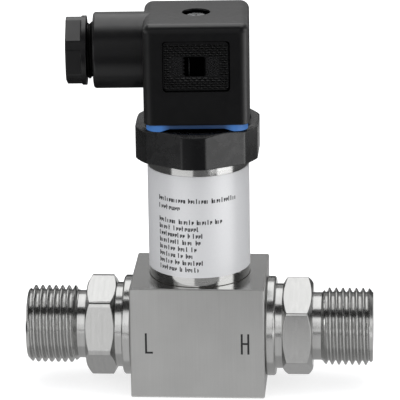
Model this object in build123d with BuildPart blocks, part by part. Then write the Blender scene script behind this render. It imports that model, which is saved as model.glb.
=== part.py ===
# Differential pressure transmitter with two pipe-thread ports and a square plug connector.
# Millimetres, +Z up. The origin is the middle of the process block's underside.
# +X points along the high pressure port, and the marked front face looks along -Y.
# The block is milled from bar, the fittings are turned, the tube is welded on top, and the
# ring nut clamps a moulded connector base to the tube. The plug pushes on from above.

import os
from math import cos, pi, radians, sin, tan

from build123d import *

os.makedirs("parts", exist_ok=True)

# Clearances between pieces
fit_clearance = 0.05
slip_clearance = 0.1

# Process block
block_width = 36.0
block_depth = 30.0
block_height = 31.0
block_edge_break = 0.3
port_height = 15.5
spigot_height = 1.5
wire_hole_radius = 3.5

# Port fittings, from the shank in the block out to the G 1/2 thread
shank_radius = 10.0
shank_lead_in = 0.6
collar_radius = 13.5
collar_length = 2.6
collar_edge = 0.4
neck_radius = 11.5
neck_length = 1.9
hex_across_flats = 24.0
hex_length = 8.1
hex_face_drop = 0.4
hex_chamfer_angle = 30.0
low_hex_tilt = 14.0
high_hex_tilt = 3.0
relief_depth = 1.5
relief_length = 3.1
thread_diameter = 20.955
thread_length = 13.1
thread_lead_in = 1.2
port_bore_radius = 4.0
port_mouth_edge = 0.5

# Sensor capsule, held between the two fitting shanks
capsule_length = 14.0
capsule_flat = 0.6
capsule_rim = 0.9
capsule_seal_gap = 0.2
diaphragm_radius = 6.6
diaphragm_thickness = 0.15
diaphragm_step = 0.35
diaphragm_rim = 0.7
oil_depth = 0.7
wave_count = 3
wave_depth = 0.2
face_groove_width = 1.5
face_groove_depth = 1.2
header_pin_count = 5
header_pin_radius = 0.25
header_pin_circle = 2.0

# Housing tube and its wrapped label
tube_radius = 13.5
tube_wall = 1.0
tube_length = 39.0
label_gap = 0.02
label_thickness = 0.12
label_bottom = 2.7
label_top_gap = 2.9
label_wrap = 300.0

# Round circuit boards inside the tube
board_clearance = 0.7
board_thickness = 1.6
board_post_radius = 1.3
board_post_inset = 2.4
board_post_height = 4.0
board_post_count = 3
board_drop = 10.0
chip_length = 6.0
chip_width = 5.0
chip_height = 1.5
capacitor_radius = 1.6
capacitor_height = 3.2
capacitor_offset = 5.2
wire_radius = 0.5
wire_spacing = 2.0
wire_count = 3
wire_bow = 1.2
wire_inset = 4.8

# Moulded connector base, clamped between the tube and the ring nut
flange_inset = 0.2
flange_thickness = 2.6
boss_step = 1.7
boss_proud = 0.1
skirt_length = 7.0
skirt_wall = 2.2
seal_groove_height = 1.9
seal_groove_depth = 1.3
seal_groove_drop = 2.4
column_wall = 1.8
column_floor = 1.0
thread_insert_radius = 2.4

# Flat contact blades
blade_inset = 4.5
blade_width = 6.3
blade_thickness = 0.8
blade_reach = 11.0
blade_tip_chamfer = 1.2
blade_tail_width = 2.4

# Ring nut
nut_wall = 2.65
nut_corner_rise = 1.0
nut_height = 9.5
nut_lip = 1.7
nut_chamfer_angle = 30.0
nut_edge = 0.25

# Flat profile gasket
gasket_inset = 0.6
gasket_corner = 3.4
gasket_thickness = 1.8
gasket_hole_clearance = 0.2
gasket_slot_clearance = 0.3

# Plug housing, and how far it and its base sit turned from square with the block
plug_turn = 3.2
plug_overhang = 0.5
plug_height = 27.1
plug_corner = 2.6
plug_top_round = 2.2
plug_bottom_edge = 0.3
plug_wall = 2.2
plug_roof = 2.6
cavity_corner = 1.0
grip_width = 17.7
grip_height = 13.7
grip_corner = 0.8
grip_depth = 0.4
grip_drop = 11.15
window_side = 5.0
window_depth = 0.5
window_pit_width = 3.7
window_pit_depth = 0.4
well_room = 0.95
well_wall = 1.2
well_floor = 1.8

# Cable gland on the plug's left side
barrel_radius = 10.1
barrel_length = 13.25
barrel_round = 0.8
gland_thread_radius = 7.6
gland_seat_wall = 1.85
grommet_step = 0.7
grommet_bore_radius = 4.0
grommet_length = 5.0
grommet_taper = 0.6
inner_way_radius = 4.2
washer_thickness = 1.0
washer_bore_radius = 4.5
washer_travel_in = 1.25
gland_flat_drop = 0.7
gland_nut_hex_length = 4.0
gland_nut_round = 0.6
gland_nut_tilt = -7.3
gland_flange_overhang = 1.6
gland_flange_thickness = 1.4
gland_flange_edge = 0.25
gland_gap = 1.75
gland_nut_bore_radius = 5.0
gland_nose_length = 2.0
gland_mouth_edge = 0.4

# Centre screw, M3, and its seal
screw_radius = 1.5
screw_reach = 5.3
screw_end_room = 1.2
screw_head_radius = 2.8
screw_head_height = 2.0
screw_head_round = 0.7
screw_head_drop = 0.8
screw_seal_thickness = 1.0
cross_width = 0.7
cross_length = 3.4
cross_depth = 1.1
screw_way_clearance = 0.15

# Terminal insert with its contact clips and screws
insert_roof = 1.5
insert_side_clearance = 0.1
insert_centre_clearance = 0.4
clip_sheet = 0.5
clip_grip_clearance = 0.05
clip_shoulder = 0.35
clip_lift = 0.6
terminal_screw_radius = 1.25
terminal_head_radius = 2.2
terminal_head_height = 1.2
terminal_slot_width = 0.6
terminal_slot_depth = 0.5

# Sizes that seat on one another: block and tube
block_bore_radius = shank_radius + fit_clearance
tube_inner_radius = tube_radius - tube_wall
tube_top = block_height + tube_length
board_radius = tube_inner_radius - board_clearance
board_post_circle = board_radius - board_post_inset

# Connector base, ring nut and gasket
flange_radius = tube_radius - flange_inset
flange_top = tube_top + flange_thickness
boss_radius = flange_radius - boss_step
blade_circle = tube_radius - blade_inset
thread_insert_length = screw_reach + screw_end_room
nut_bore_radius = tube_radius + slip_clearance
nut_across_flats = 2 * (nut_bore_radius + nut_wall)
nut_radius = nut_across_flats / 2 + nut_corner_rise
nut_top = flange_top + nut_lip
nut_bottom = nut_top - nut_height
base_top = nut_top + boss_proud
blade_tip = base_top + blade_reach

# Plug, its insert and its gland
plug_side = 2 * (tube_radius + plug_overhang)
plug_bottom = base_top + gasket_thickness
plug_top = plug_bottom + plug_height
cavity_side = plug_side - 2 * plug_wall
well_radius = screw_head_radius + well_room
gland_height = plug_top - barrel_radius
barrel_end = plug_side / 2 + barrel_length
grommet_radius = gland_thread_radius - grommet_step
seat_floor = cavity_side / 2 + gland_seat_wall
thread_bore_end = seat_floor + grommet_length + slip_clearance
port_axis = Axis((0, 0, port_height), (1, 0, 0))
gland_axis = Axis((0, 0, gland_height), (1, 0, 0))

# The four contacts by name, with the way each one lies from the middle
contacts = {"signal": 0, "spare": 90, "supply": 180, "earth": 270}


def save(piece, label, turn=0):
    """Names a finished piece, turns it about the upright axis and writes it as its own file."""
    solid = piece.part.rotate(Axis.Z, turn) if turn else piece.part
    solid.label = label
    export_step(solid, f"parts/{label}.step")


def across(side, reach, height):
    """Plane square to a sideways axis, `reach` out from the middle and facing outwards."""
    return Plane(origin=(side * reach, 0, height), x_dir=(0, side, 0), z_dir=(side, 0, 0))


def along(side, height):
    """Plane through a sideways axis: local x runs outwards and local y is the radius."""
    return Plane(origin=(0, 0, height), x_dir=(side, 0, 0), z_dir=(0, -side, 0))


def blade_face(angle, radius):
    """Upright plane facing outwards from the middle: local x is sideways and local y is up."""
    way = radians(angle)
    origin = (radius * cos(way), radius * sin(way), 0)
    return Plane(origin=origin, x_dir=(-sin(way), cos(way), 0), z_dir=(cos(way), sin(way), 0))


def blade_side(angle, radius):
    """Upright plane through the middle: local x runs outwards and local y is up."""
    way = radians(angle)
    origin = (radius * cos(way), radius * sin(way), 0)
    return Plane(origin=origin, x_dir=(cos(way), sin(way), 0), z_dir=(sin(way), -cos(way), 0))


# Process block: bar stock with one bore from port to port and a wire hole up to the tube
with BuildPart() as process_block:
    with BuildSketch():
        Rectangle(block_width, block_depth)
    extrude(amount=block_height)
    chamfer(process_block.edges(), length=block_edge_break)
    with BuildSketch(Plane.XY.offset(block_height)):
        Circle(tube_inner_radius - fit_clearance)
    extrude(amount=spigot_height)
    with BuildSketch(across(1, -block_width / 2, port_height)):
        Circle(block_bore_radius)
    extrude(amount=block_width, mode=Mode.SUBTRACT)
    with BuildSketch(Plane.XY.offset(port_height)):
        Circle(wire_hole_radius)
    extrude(amount=block_height - port_height + spigot_height, mode=Mode.SUBTRACT)
save(process_block, "process_block")


def make_fitting(label, side, hex_tilt):
    """One turned fitting: shank, weld collar, neck, milled hexagon, relief and thread."""
    shank_start = capsule_length / 2 + capsule_seal_gap
    face = block_width / 2
    collar_end = face + collar_length
    hex_start = collar_end + neck_length
    hex_end = hex_start + hex_length
    thread_start = hex_end + relief_length
    end = thread_start + thread_length
    thread_radius = thread_diameter / 2
    relief_radius = thread_radius - relief_depth
    hex_face_radius = hex_across_flats / 2 - hex_face_drop
    hex_corner = hex_across_flats / 2 / cos(radians(30))
    hex_cut = (hex_corner - hex_face_radius) * tan(radians(hex_chamfer_angle))
    with BuildPart() as fitting:
        with BuildSketch(across(side, hex_start, port_height)):
            RegularPolygon(
                hex_across_flats / 2, 6, major_radius=False, rotation=side * (30 - hex_tilt)
            )
        extrude(amount=hex_length)
        with BuildSketch(along(side, port_height)):
            with BuildLine():
                Polyline(
                    (hex_start, 0),
                    (hex_start, hex_face_radius),
                    (hex_start + hex_cut, hex_corner),
                    (hex_end - hex_cut, hex_corner),
                    (hex_end, hex_face_radius),
                    (hex_end, 0),
                    close=True,
                )
            make_face()
        revolve(axis=port_axis, mode=Mode.INTERSECT)
        with BuildSketch(along(side, port_height)):
            with BuildLine():
                Polyline(
                    (shank_start, port_bore_radius),
                    (shank_start, shank_radius - shank_lead_in),
                    (shank_start + shank_lead_in, shank_radius),
                    (face, shank_radius),
                    (face, collar_radius - collar_edge),
                    (face + collar_edge, collar_radius),
                    (collar_end - collar_edge, collar_radius),
                    (collar_end, collar_radius - collar_edge),
                    (collar_end, neck_radius),
                    (hex_start, neck_radius),
                    (hex_start, relief_radius),
                    (thread_start - relief_depth, relief_radius),
                    (thread_start, thread_radius),
                    (end - thread_lead_in, thread_radius),
                    (end, thread_radius - thread_lead_in),
                    (end, port_bore_radius + port_mouth_edge),
                    (end - port_mouth_edge, port_bore_radius),
                    close=True,
                )
            make_face()
        revolve(axis=port_axis)
        with BuildSketch(across(side, hex_start, port_height)):
            Circle(port_bore_radius)
        extrude(amount=hex_length, mode=Mode.SUBTRACT)
    save(fitting, label)


make_fitting("low_side_fitting", -1, low_hex_tilt)
make_fitting("high_side_fitting", 1, high_hex_tilt)

# Sensor capsule: a short drum with a diaphragm seat and a face groove at each end
face_groove_radius = shank_radius - capsule_rim - face_groove_width
with BuildPart() as sensor_capsule:
    with BuildSketch(across(1, -capsule_length / 2, port_height)):
        Circle(shank_radius)
    extrude(amount=capsule_length)
    for side in (-1, 1):
        end_face = across(side, capsule_length / 2, port_height)
        with BuildSketch(end_face):
            Circle(diaphragm_radius + fit_clearance)
        extrude(amount=-diaphragm_step, mode=Mode.SUBTRACT)
        with BuildSketch(end_face):
            Circle(diaphragm_radius - diaphragm_rim)
        extrude(amount=-diaphragm_step - oil_depth, mode=Mode.SUBTRACT)
        with BuildSketch(end_face):
            Circle(face_groove_radius + face_groove_width)
            Circle(face_groove_radius, mode=Mode.SUBTRACT)
        extrude(amount=-face_groove_depth, mode=Mode.SUBTRACT)
    with BuildSketch(Plane.XY.offset(port_height + shank_radius - capsule_flat)):
        Rectangle(capsule_length, 2 * shank_radius)
    extrude(amount=capsule_flat, mode=Mode.SUBTRACT)
save(sensor_capsule, "sensor_capsule")


def wave(radius):
    """How far a pressed ring wave sinks the diaphragm at this radius."""
    turns = wave_count * radius / (diaphragm_radius - diaphragm_rim)
    return wave_depth * (1 - cos(2 * pi * turns)) / 2


def make_diaphragm(label, side):
    """Thin disc pressed into ring waves, flat at the rim that is welded to the capsule."""
    back = capsule_length / 2 - diaphragm_step
    wave_end = diaphragm_radius - diaphragm_rim
    samples = 8 * wave_count
    radii = [wave_end * i / samples for i in range(samples + 1)]
    with BuildPart() as diaphragm:
        with BuildSketch(along(side, port_height)):
            with BuildLine():
                Spline([(back - wave(r), r) for r in radii])
                Line((back, wave_end), (back, diaphragm_radius))
                Line((back, diaphragm_radius), (back + diaphragm_thickness, diaphragm_radius))
                Line(
                    (back + diaphragm_thickness, diaphragm_radius),
                    (back + diaphragm_thickness, wave_end),
                )
                Spline([(back + diaphragm_thickness - wave(r), r) for r in radii])
                Line((back, 0), (back + diaphragm_thickness, 0))
            make_face()
        revolve(axis=port_axis)
    save(diaphragm, label)


make_diaphragm("low_side_diaphragm", -1)
make_diaphragm("high_side_diaphragm", 1)


def make_face_seal(label, side):
    """Rubber ring in the capsule's face groove, squeezed flat against the fitting."""
    floor = capsule_length / 2 - face_groove_depth
    seal_height = face_groove_depth + capsule_seal_gap - fit_clearance
    with BuildPart() as seal:
        with BuildSketch(across(side, floor, port_height)):
            Circle(face_groove_radius + face_groove_width - fit_clearance)
            Circle(face_groove_radius + fit_clearance, mode=Mode.SUBTRACT)
        extrude(amount=seal_height)
        round_limit = (face_groove_width - 2 * fit_clearance) / 2
        fillet(seal.edges(), radius=min(seal_height / 2, round_limit) * 0.8)
    save(seal, label)


make_face_seal("low_side_seal", -1)
make_face_seal("high_side_seal", 1)

# Header pins: glass-sealed leads from the capsule up to the first board
capsule_top = port_height + shank_radius - capsule_flat
board_seat = block_height + spigot_height + board_post_height
with BuildPart() as header_pins:
    with BuildSketch(Plane.XY.offset(capsule_top)):
        with PolarLocations(header_pin_circle, header_pin_count):
            Circle(header_pin_radius)
    extrude(amount=board_seat - capsule_top)
save(header_pins, "header_pins")

# Housing tube
with BuildPart() as housing_tube:
    with BuildSketch(Plane.XY.offset(block_height)):
        Circle(tube_radius)
        Circle(tube_inner_radius, mode=Mode.SUBTRACT)
    extrude(amount=tube_length)
save(housing_tube, "housing_tube")

# Label: a printed film wrapped round the tube, open at the back
seam_start = 90 + (360 - label_wrap) / 2
label_start = block_height + label_bottom
label_height = nut_bottom - label_top_gap - label_start
with BuildPart() as label_film:
    with BuildSketch(blade_side(seam_start, 0)):
        with Locations(
            (tube_radius + label_gap + label_thickness / 2, label_start + label_height / 2)
        ):
            Rectangle(label_thickness, label_height)
    revolve(axis=Axis.Z, revolution_arc=label_wrap)
save(label_film, "label")

# Board posts: stand on the block's spigot and carry the first board
with BuildPart() as board_posts:
    with BuildSketch(Plane.XY.offset(block_height + spigot_height)):
        with PolarLocations(board_post_circle, board_post_count, start_angle=90):
            Circle(board_post_radius)
    extrude(amount=board_post_height)
save(board_posts, "board_posts")

# Conditioning board, on the posts
with BuildPart() as conditioning_board:
    with BuildSketch(Plane.XY.offset(board_seat)):
        Circle(board_radius)
    extrude(amount=board_thickness)
save(conditioning_board, "conditioning_board")

with BuildPart() as conditioning_chip:
    with BuildSketch(Plane.XY.offset(board_seat + board_thickness)):
        Rectangle(chip_length, chip_width)
    extrude(amount=chip_height)
save(conditioning_chip, "conditioning_chip")

# Output board, hung on the tails of the contact blades
output_seat = tube_top - board_drop
with BuildPart() as output_board:
    with BuildSketch(Plane.XY.offset(output_seat - board_thickness)):
        Circle(board_radius)
    extrude(amount=board_thickness)
save(output_board, "output_board")

with BuildPart() as output_chip:
    with BuildSketch(Plane.XY.offset(output_seat)):
        Rectangle(chip_length, chip_width)
    extrude(amount=chip_height)
save(output_chip, "output_chip")

with BuildPart() as filter_capacitors:
    with BuildSketch(Plane.XY.offset(output_seat)):
        with Locations(
            (capacitor_offset, capacitor_offset), (-capacitor_offset, -capacitor_offset)
        ):
            Circle(capacitor_radius)
    extrude(amount=capacitor_height)
save(filter_capacitors, "filter_capacitors")

# Link wires: slack leads from the first board up to the second
wire_bottom = board_seat + board_thickness
wire_rise = output_seat - board_thickness - wire_bottom
wire_offset = board_radius - wire_inset
with BuildPart() as link_wires:
    for place in range(wire_count):
        wire_x = (place - (wire_count - 1) / 2) * wire_spacing
        with BuildLine() as wire_path:
            Spline(
                (wire_x, wire_offset, wire_bottom),
                (wire_x, wire_offset - wire_bow, wire_bottom + wire_rise / 2),
                (wire_x, wire_offset, wire_bottom + wire_rise),
                tangents=[(0, 0, 1), (0, 0, 1)],
            )
        with BuildSketch(Plane.XY.offset(wire_bottom)):
            with Locations((wire_x, wire_offset)):
                Circle(wire_radius)
        sweep(path=wire_path.wire())
save(link_wires, "link_wires")

# Connector base: flange, boss, hollow skirt, seal groove and a column for the thread insert
skirt_radius = tube_inner_radius - slip_clearance
skirt_inner_radius = skirt_radius - skirt_wall
column_bottom = base_top - thread_insert_length - column_floor
groove_top = tube_top - seal_groove_drop
with BuildPart() as connector_base:
    with BuildSketch(Plane.XY.offset(tube_top)):
        Circle(flange_radius)
    extrude(amount=flange_thickness)
    with BuildSketch(Plane.XY.offset(flange_top)):
        Circle(boss_radius)
    extrude(amount=base_top - flange_top)
    with BuildSketch(Plane.XY.offset(tube_top)):
        Circle(skirt_radius)
        Circle(skirt_inner_radius, mode=Mode.SUBTRACT)
    extrude(amount=-skirt_length)
    with BuildSketch(Plane.XY.offset(tube_top)):
        Circle(thread_insert_radius + column_wall)
    extrude(amount=column_bottom - tube_top)
    with BuildSketch(Plane.XY.offset(groove_top)):
        Circle(skirt_radius)
        Circle(skirt_radius - seal_groove_depth, mode=Mode.SUBTRACT)
    extrude(amount=-seal_groove_height, mode=Mode.SUBTRACT)
    with BuildSketch(Plane.XY.offset(base_top)):
        Circle(thread_insert_radius)
    extrude(amount=-thread_insert_length, mode=Mode.SUBTRACT)
    with BuildSketch(Plane.XY.offset(tube_top)):
        with PolarLocations(blade_circle, len(contacts)):
            Rectangle(blade_thickness, blade_width)
    extrude(amount=base_top - tube_top, mode=Mode.SUBTRACT)
save(connector_base, "connector_base", plug_turn)

# Seal ring between the base's skirt and the tube
with BuildPart() as base_seal:
    with BuildSketch(Plane.XY.offset(groove_top - fit_clearance)):
        Circle(tube_inner_radius - fit_clearance)
        Circle(skirt_radius - seal_groove_depth + fit_clearance, mode=Mode.SUBTRACT)
    extrude(amount=2 * fit_clearance - seal_groove_height)
    fillet(base_seal.edges(), radius=seal_groove_depth * 0.4)
save(base_seal, "base_seal")

# Threaded brass insert for the centre screw
with BuildPart() as thread_insert:
    with BuildSketch(Plane.XY.offset(base_top)):
        Circle(thread_insert_radius)
        Circle(screw_radius + fit_clearance, mode=Mode.SUBTRACT)
    extrude(amount=-thread_insert_length)
save(thread_insert, "thread_insert")


def make_blade(label, angle):
    """Flat contact blade with a bevelled tip and a narrow tail down to the output board."""
    half = blade_width / 2
    tail = blade_tail_width / 2
    with BuildPart() as blade:
        with BuildSketch(blade_face(angle, blade_circle)):
            with BuildLine():
                Polyline(
                    (-tail, output_seat),
                    (tail, output_seat),
                    (tail, tube_top),
                    (half, tube_top),
                    (half, blade_tip - blade_tip_chamfer),
                    (half - blade_tip_chamfer, blade_tip),
                    (blade_tip_chamfer - half, blade_tip),
                    (-half, blade_tip - blade_tip_chamfer),
                    (-half, tube_top),
                    (-tail, tube_top),
                    close=True,
                )
            make_face()
        extrude(amount=blade_thickness / 2, both=True)
    save(blade, label, plug_turn)


for contact, way in contacts.items():
    make_blade(f"{contact}_blade", way)

# Ring nut: hexagon with its corners turned round, chamfered at the top, lipped inside
nut_rim = nut_across_flats / 2
nut_cut = (nut_radius - nut_rim) * tan(radians(nut_chamfer_angle))
with BuildPart() as ring_nut:
    with BuildSketch(Plane.XY.offset(nut_bottom)):
        RegularPolygon(nut_across_flats / 2, 6, major_radius=False, rotation=30)
    extrude(amount=nut_height)
    with BuildSketch(Plane.XZ):
        with BuildLine():
            Polyline(
                (0, nut_bottom),
                (nut_radius - nut_edge, nut_bottom),
                (nut_radius, nut_bottom + nut_edge),
                (nut_radius, nut_top - nut_cut),
                (nut_rim, nut_top),
                (0, nut_top),
                close=True,
            )
        make_face()
    revolve(axis=Axis.Z, mode=Mode.INTERSECT)
    with BuildSketch(Plane.XY.offset(nut_bottom)):
        Circle(nut_bore_radius)
    extrude(amount=nut_height - nut_lip, mode=Mode.SUBTRACT)
    with BuildSketch(Plane.XY.offset(nut_top)):
        Circle(boss_radius + slip_clearance)
    extrude(amount=-nut_lip, mode=Mode.SUBTRACT)
save(ring_nut, "ring_nut")

# Profile gasket between the base and the plug, slotted for the blades
gasket_side = plug_side - 2 * gasket_inset
with BuildPart() as profile_gasket:
    with BuildSketch(Plane.XY.offset(base_top)):
        RectangleRounded(gasket_side, gasket_side, gasket_corner)
        Circle(thread_insert_radius + gasket_hole_clearance, mode=Mode.SUBTRACT)
        with PolarLocations(blade_circle, len(contacts)):
            Rectangle(
                blade_thickness + 2 * gasket_slot_clearance,
                blade_width + 2 * gasket_slot_clearance,
                mode=Mode.SUBTRACT,
            )
    extrude(amount=gasket_thickness)
save(profile_gasket, "profile_gasket", plug_turn)

# Plug housing: moulded shell, open below, with the gland barrel level with its top
well_depth = screw_head_drop + screw_head_height + screw_seal_thickness
grip_middle = plug_top - grip_drop
with BuildPart() as plug_housing:
    with BuildSketch(Plane.XY.offset(plug_bottom)):
        RectangleRounded(plug_side, plug_side, plug_corner)
    extrude(amount=plug_height)
    fillet(plug_housing.faces().sort_by(Axis.Z)[-1].edges(), radius=plug_top_round)
    chamfer(plug_housing.faces().sort_by(Axis.Z)[0].edges(), length=plug_bottom_edge)
    with BuildSketch(across(-1, 0, gland_height)):
        Circle(barrel_radius)
    extrude(amount=barrel_end)
    fillet(plug_housing.faces().sort_by(Axis.X)[0].edges(), radius=barrel_round)
    with BuildSketch(Plane.XY.offset(plug_bottom)):
        RectangleRounded(cavity_side, cavity_side, cavity_corner)
    extrude(amount=plug_height - plug_roof, mode=Mode.SUBTRACT)
    with BuildSketch(Plane.XY.offset(plug_top - well_depth - well_floor)):
        Circle(well_radius + well_wall)
    extrude(amount=well_depth + well_floor - plug_roof)
    with BuildSketch(Plane.XY.offset(plug_top)):
        Circle(well_radius)
    extrude(amount=-well_depth, mode=Mode.SUBTRACT)
    with BuildSketch(Plane.XY.offset(plug_top)):
        Circle(screw_radius + screw_way_clearance)
    extrude(amount=-well_depth - well_floor, mode=Mode.SUBTRACT)
    with BuildSketch(across(-1, barrel_end, gland_height)):
        Circle(gland_thread_radius + slip_clearance)
    extrude(amount=thread_bore_end - barrel_end, mode=Mode.SUBTRACT)
    with BuildSketch(across(-1, thread_bore_end, gland_height)):
        Circle(grommet_radius + slip_clearance)
    extrude(amount=seat_floor - thread_bore_end, mode=Mode.SUBTRACT)
    with BuildSketch(across(-1, seat_floor, gland_height)):
        Circle(inner_way_radius)
    extrude(amount=cavity_side / 2 - seat_floor, mode=Mode.SUBTRACT)
    for side in (-1, 1):
        with BuildSketch(Plane.XZ.offset(side * plug_side / 2)):
            with Locations((0, grip_middle)):
                RectangleRounded(grip_width, grip_height, grip_corner)
        extrude(amount=-side * grip_depth, mode=Mode.SUBTRACT)
    with BuildSketch(Plane.XZ.offset(plug_side / 2 - grip_depth)):
        with Locations((0, grip_middle)):
            Rectangle(window_side, window_side)
    extrude(amount=-window_depth, mode=Mode.SUBTRACT)
    with BuildSketch(Plane.XZ.offset(plug_side / 2 - grip_depth - window_depth)):
        with Locations(((window_side - window_pit_width) / 2, grip_middle)):
            Rectangle(window_pit_width, window_side)
    extrude(amount=-window_pit_depth, mode=Mode.SUBTRACT)
save(plug_housing, "plug_housing", plug_turn)

# Terminal insert: holds the clips, with a well above each for its screw
insert_side = cavity_side - 2 * insert_side_clearance
clip_slot = blade_thickness + 2 * clip_grip_clearance
clip_thickness = clip_slot + 2 * clip_sheet
clip_width = blade_width + 2 * clip_shoulder
clip_top = blade_tip + 2 * clip_grip_clearance + clip_sheet
screw_seat = clip_top + insert_roof
insert_top = screw_seat + terminal_head_height
with BuildPart() as terminal_insert:
    with BuildSketch(Plane.XY.offset(plug_bottom)):
        RectangleRounded(insert_side, insert_side, cavity_corner)
        Circle(screw_radius + insert_centre_clearance, mode=Mode.SUBTRACT)
    extrude(amount=insert_top - plug_bottom)
    with BuildSketch(Plane.XY.offset(plug_bottom)):
        with PolarLocations(blade_circle, len(contacts)):
            Rectangle(clip_thickness + 2 * fit_clearance, clip_width + 2 * fit_clearance)
    extrude(amount=clip_top + fit_clearance - plug_bottom, mode=Mode.SUBTRACT)
    with BuildSketch(Plane.XY.offset(insert_top)):
        with PolarLocations(blade_circle, len(contacts)):
            Circle(terminal_head_radius + slip_clearance)
    extrude(amount=-terminal_head_height, mode=Mode.SUBTRACT)
    with BuildSketch(Plane.XY.offset(insert_top)):
        with PolarLocations(blade_circle, len(contacts)):
            Circle(terminal_screw_radius + fit_clearance)
    extrude(amount=clip_top - insert_top, mode=Mode.SUBTRACT)
save(terminal_insert, "terminal_insert", plug_turn)


def make_clip(label, angle):
    """Folded contact clip: two legs that grip the blade, under a roof that meets the screw."""
    foot = plug_bottom + clip_lift
    with BuildPart() as clip:
        with BuildSketch(blade_side(angle, blade_circle)):
            with Locations((0, (foot + clip_top) / 2)):
                Rectangle(clip_thickness, clip_top - foot)
            with Locations((0, (foot + clip_top - clip_sheet) / 2)):
                Rectangle(clip_slot, clip_top - clip_sheet - foot, mode=Mode.SUBTRACT)
        extrude(amount=clip_width / 2, both=True)
    save(clip, label, plug_turn)


for contact, way in contacts.items():
    make_clip(f"{contact}_clip", way)

# Terminal screws: one over each clip
with BuildPart() as terminal_screws:
    with BuildSketch(Plane.XY.offset(insert_top)):
        with PolarLocations(blade_circle, len(contacts)):
            Circle(terminal_head_radius)
    extrude(amount=-terminal_head_height)
    with BuildSketch(Plane.XY.offset(screw_seat)):
        with PolarLocations(blade_circle, len(contacts)):
            Circle(terminal_screw_radius)
    extrude(amount=clip_top - screw_seat)
    with BuildSketch(Plane.XY.offset(insert_top)):
        with PolarLocations(blade_circle, len(contacts)):
            Rectangle(2 * terminal_head_radius, terminal_slot_width)
    extrude(amount=-terminal_slot_depth, mode=Mode.SUBTRACT)
save(terminal_screws, "terminal_screws", plug_turn)

# Centre screw: pan head with a cross recess, through the plug into the brass insert
head_top = plug_top - screw_head_drop
head_seat = head_top - screw_head_height
with BuildPart() as centre_screw:
    with BuildSketch(Plane.XY.offset(head_seat)):
        Circle(screw_head_radius)
    extrude(amount=screw_head_height)
    fillet(centre_screw.faces().sort_by(Axis.Z)[-1].edges(), radius=screw_head_round)
    with BuildSketch(Plane.XY.offset(head_top)):
        Rectangle(cross_length, cross_width)
        Rectangle(cross_width, cross_length)
    extrude(amount=-cross_depth, mode=Mode.SUBTRACT)
    with BuildSketch(Plane.XY.offset(head_seat)):
        Circle(screw_radius)
    extrude(amount=base_top - screw_reach - head_seat)
save(centre_screw, "centre_screw", plug_turn)

with BuildPart() as screw_seal:
    with BuildSketch(Plane.XY.offset(head_seat)):
        Circle(screw_head_radius)
        Circle(screw_radius + screw_way_clearance, mode=Mode.SUBTRACT)
    extrude(amount=-screw_seal_thickness)
save(screw_seal, "screw_seal")

# Cable grommet on its seat in the barrel
with BuildPart() as cable_grommet:
    with BuildSketch(along(-1, gland_height)):
        with BuildLine():
            Polyline(
                (seat_floor, grommet_bore_radius),
                (seat_floor, grommet_radius),
                (seat_floor + grommet_length - grommet_taper, grommet_radius),
                (seat_floor + grommet_length, grommet_radius - grommet_taper),
                (seat_floor + grommet_length, grommet_bore_radius),
                close=True,
            )
        make_face()
    revolve(axis=gland_axis)
save(cable_grommet, "cable_grommet", plug_turn)

# Slip washer that the gland nut pushes against the grommet
washer_start = seat_floor + grommet_length + washer_travel_in
washer_end = washer_start + washer_thickness
with BuildPart() as gland_washer:
    with BuildSketch(across(-1, washer_start, gland_height)):
        Circle(grommet_radius - fit_clearance)
        Circle(washer_bore_radius, mode=Mode.SUBTRACT)
    extrude(amount=washer_thickness)
save(gland_washer, "gland_washer", plug_turn)

# Gland nut: hexagon with turned corners, flange, threaded shank and a nose for the washer
gland_nut_start = washer_end + fit_clearance
flange_start = barrel_end + gland_gap
gland_nut_radius = gland_thread_radius + gland_flange_overhang
gland_hex_start = flange_start + gland_flange_thickness
gland_nut_end = gland_hex_start + gland_nut_hex_length
with BuildPart() as gland_nut:
    with BuildSketch(across(-1, gland_hex_start, gland_height)):
        RegularPolygon(
            gland_nut_radius - gland_flat_drop,
            6,
            major_radius=False,
            rotation=gland_nut_tilt - 30,
        )
        Circle(gland_nut_radius, mode=Mode.INTERSECT)
    extrude(amount=gland_nut_hex_length)
    fillet(gland_nut.faces().sort_by(Axis.X)[0].edges(), radius=gland_nut_round)
    with BuildSketch(along(-1, gland_height)):
        with BuildLine():
            Polyline(
                (gland_nut_start, 0),
                (gland_nut_start, grommet_radius - fit_clearance),
                (gland_nut_start + gland_nose_length, grommet_radius - fit_clearance),
                (gland_nut_start + gland_nose_length, gland_thread_radius),
                (flange_start, gland_thread_radius),
                (flange_start, gland_nut_radius),
                (gland_hex_start - gland_flange_edge, gland_nut_radius),
                (gland_hex_start, gland_nut_radius - gland_flange_edge),
                (gland_hex_start, 0),
                close=True,
            )
        make_face()
    revolve(axis=gland_axis)
    with BuildSketch(along(-1, gland_height)):
        with BuildLine():
            Polyline(
                (gland_nut_start, 0),
                (gland_nut_start, gland_nut_bore_radius),
                (gland_nut_end - gland_mouth_edge, gland_nut_bore_radius),
                (gland_nut_end, gland_nut_bore_radius + gland_mouth_edge),
                (gland_nut_end, 0),
                close=True,
            )
        make_face()
    revolve(axis=gland_axis, mode=Mode.SUBTRACT)
save(gland_nut, "gland_nut", plug_turn)
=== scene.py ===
# %% [markdown]
# # A differential pressure transmitter in its studio light
#
# The frame brings every piece at its real size and place. This lesson dresses them: it cuts
# the pipe threads, prints the label, cuts the grip pattern, and gives each piece the finish
# of its own metal, plastic or rubber. Lengths on the object are in millimetres, and MM turns
# them to metres. The room round it, with its lamp, cards and camera, is given in metres.

from math import acos, cos, hypot, pi, radians, sin, tan

import bmesh
import bpy
from mathutils import Matrix, Vector


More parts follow.
